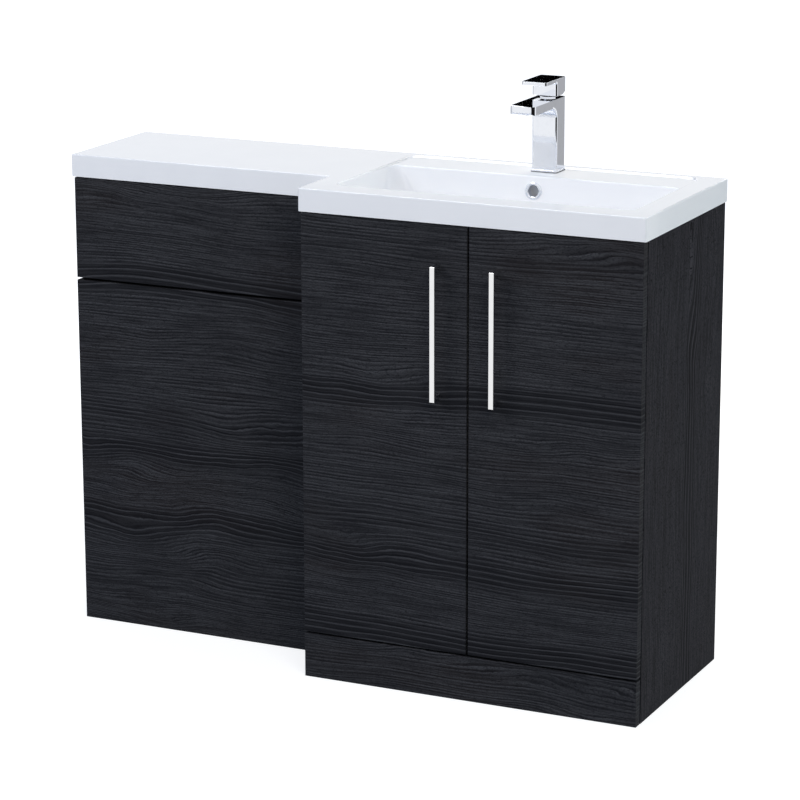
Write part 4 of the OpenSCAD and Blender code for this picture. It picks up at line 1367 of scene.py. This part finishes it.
@dataclass
class Studio:
    """A pale floor, a white surround, soft lamps and the cards that the chrome mirrors.

    Attributes:
        cards: the cards.
    """

    cards: Sequence[Card] = (
        Card("dark_card_behind", (-3.0, 0.62, 1.015), (2.0, 0.63, 1.14), 0.0),
        Card("bright_card_behind", (-2.6, 2.60, 1.65), (1.8, 2.61, 3.0), 3.0),
        Card("bright_card_high", (-2.8, 2.60, 3.05), (-0.4, 2.61, 4.4), 7.0),
        Card("bright_card_above", (-1.9, -1.60, 3.40), (-0.1, 0.40, 3.41), 6.0),
        Card("grey_card_behind", (0.55, 1.50, 0.30), (1.16, 1.51, 0.85), 0.45),
        Card("dark_card_right", (1.35, -2.80, 0.02), (1.36, 0.42, 0.94), 0.01),
        Card("grey_card_left", (-1.75, -0.60, 0.05), (-1.74, 1.10, 0.94), 0.20),
    )

    def seen(self, graph: Graph) -> Value:
        """Returns 1 for what the camera sees straight or in a mirror, and 0 for light on surfaces."""
        rays = graph.node("ShaderNodeLightPath")
        first = graph.sum("MAXIMUM", rays.outputs["Is Camera Ray"], rays.outputs["Is Glossy Ray"])
        return graph.sum("MAXIMUM", first, rays.outputs["Is Transmission Ray"])

    def surround(self) -> None:
        """Makes the white surround."""
        world = bpy.data.worlds.new("surround")
        world.use_nodes = True
        bpy.context.scene.world = world
        g = Graph(world.node_tree)
        soft = g.node("ShaderNodeBackground", None, {"Color": (0.5625, 0.725, 1.0, 1.0), "Strength": 0.48})
        plain = g.node("ShaderNodeBackground", None, {"Color": (1.0, 1.0, 1.0, 1.0), "Strength": 1.0})
        both = g.node("ShaderNodeMixShader", None, {0: self.seen(g), 1: soft.outputs[0], 2: plain.outputs[0]})
        g.node("ShaderNodeOutputWorld", None, {"Surface": both.outputs[0]})

    def floor(self) -> None:
        """Lays the pale floor, which keeps the object's shadow."""
        surface = Surface("pale_floor")
        g = surface.graph
        x, y, z = g.place()
        tone = g.blend(g.noise(g.vector(x, y, z), 2.0, 0.5, 3.0), (0.50, 0.50, 0.50), (0.52, 0.52, 0.52))
        far = g.sum("SQRT", x * x + y * y)
        paint = g.node("ShaderNodeBsdfDiffuse", None, {"Color": tone})
        glow = g.node("ShaderNodeEmission", None, {"Strength": g.step(far, 0.5, 3.0, 0.74, 1.0)})
        white = g.node("ShaderNodeEmission", None, {"Strength": 1.0})
        rays = g.node("ShaderNodeLightPath")
        lit = g.node("ShaderNodeAddShader", None, {0: paint.outputs[0], 1: glow.outputs[0]})
        near = g.node(
            "ShaderNodeMixShader", None, {0: rays.outputs["Is Camera Ray"], 1: paint.outputs[0], 2: lit.outputs[0]}
        )
        mirrored = g.sum("MAXIMUM", rays.outputs["Is Glossy Ray"], rays.outputs["Is Transmission Ray"])
        both = g.node("ShaderNodeMixShader", None, {0: mirrored, 1: near.outputs[0], 2: white.outputs[0]})
        g.node("ShaderNodeOutputMaterial", None, {"Surface": both.outputs[0]})
        shape = bmesh.new()
        bmesh.ops.create_grid(shape, x_segments=1, y_segments=1, size=14.0)
        data = bpy.data.meshes.new("floor")
        shape.to_mesh(data)
        shape.free()
        data.materials.append(surface.material)
        made = bpy.data.objects.new("floor", data)
        bpy.context.scene.collection.objects.link(made)

    def lamp(self, name: str, spot: Spot, aim: Spot, size: float, watts: float, colour: Colour) -> None:
        """Hangs a soft lamp.

        Args:
            name: its name.
            spot: where it hangs, in metres.
            aim: what it points at.
            size: its width.
            watts: its power.
            colour: its colour.
        """
        data = bpy.data.lights.new(name, "AREA")
        data.shape, data.size, data.energy, data.color = "DISK", size, watts, colour
        made = bpy.data.objects.new(name, data)
        made.location = spot
        made.rotation_euler = (Vector(aim) - Vector(spot)).to_track_quat("-Z", "Y").to_euler()
        made.visible_glossy = False
        bpy.context.scene.collection.objects.link(made)

    def build(self) -> None:
        """Sets up the studio."""
        bpy.context.scene.view_settings.view_transform = "Standard"
        self.surround()
        self.floor()
        self.lamp("left_lamp", (-2.2, -2.6, 2.8), (0.0, 0.0, 0.6), 2.0, 57.0, (1.0, 0.98, 0.965))
        self.lamp("right_lamp", (2.4, -2.6, 2.8), (0.0, 0.0, 0.6), 2.0, 51.5, (1.0, 0.92, 0.81))
        self.lamp("side_lamp", (3.4, 0.4, 1.2), (0.4, 0.0, 0.5), 1.6, 19.3, (0.92, 1.0, 0.89))
        self.lamp("back_lamp", (0.3, 2.6, 2.3), (0.25, 0.0, 0.8), 1.6, 38.5, (1.0, 0.87, 0.60))
        self.lamp("far_lamp", (-2.6, 1.6, 2.2), (0.1, 0.0, 0.8), 1.6, 12.0, (0.76, 0.76, 1.0))
        for card in self.cards:
            card.build()
        LOG.info("studio: floor, surround, 5 lamps, %d cards", len(self.cards))


@dataclass(frozen=True)
class PhotoCamera:
    """The camera that sees the unit as the photograph does.

    Attributes:
        spot: where it stands, in the shared frame in metres.
        heading, dip, roll: how it is turned, in degrees.
        lens: its focal length on a 36 mm wide sensor.
    """

    spot: Spot = (2.242772, -4.644240, 1.776427)
    heading: float = -25.31
    dip: float = 14.483
    roll: float = -0.113
    lens: float = 141.747

    def build(self) -> None:
        """Puts the camera in the scene."""
        h, d, r = (math.radians(a) for a in (self.heading, self.dip, self.roll))
        ahead = Vector((math.sin(h) * math.cos(d), math.cos(h) * math.cos(d), -math.sin(d)))
        right = Vector((math.cos(h), -math.sin(h), 0.0))
        over = right.cross(ahead)
        across = math.cos(r) * right + math.sin(r) * over
        up = -math.sin(r) * right + math.cos(r) * over
        data = bpy.data.cameras.new("photo_camera")
        data.lens, data.sensor_width, data.sensor_fit = self.lens, 36.0, "HORIZONTAL"
        made = bpy.data.objects.new("photo_camera", data)
        turn = Matrix((across, up, -ahead)).transposed().to_4x4()
        made.matrix_world = Matrix.Translation(Vector(self.spot)) @ turn
        bpy.context.scene.collection.objects.link(made)
        bpy.context.scene.camera = made
        LOG.info("camera: lens %.1f mm", self.lens)


def main() -> None:
    """Builds and dresses the unit."""
    logging.basicConfig(level=logging.INFO, format="%(name)s: %(message)s")
    PhotoCamera().build()
    palette = Palette()
    parts = [
        MouldedTop(palette), LeverTap(palette), WasteAndOverflow(palette),
        BarHandle(palette, "left", 746.45), BarHandle(palette, "right", 849.55), Cabinets(palette), Studio(),
    ]
    for part in parts:
        part.build()


if __name__ == "__main__":
    main()
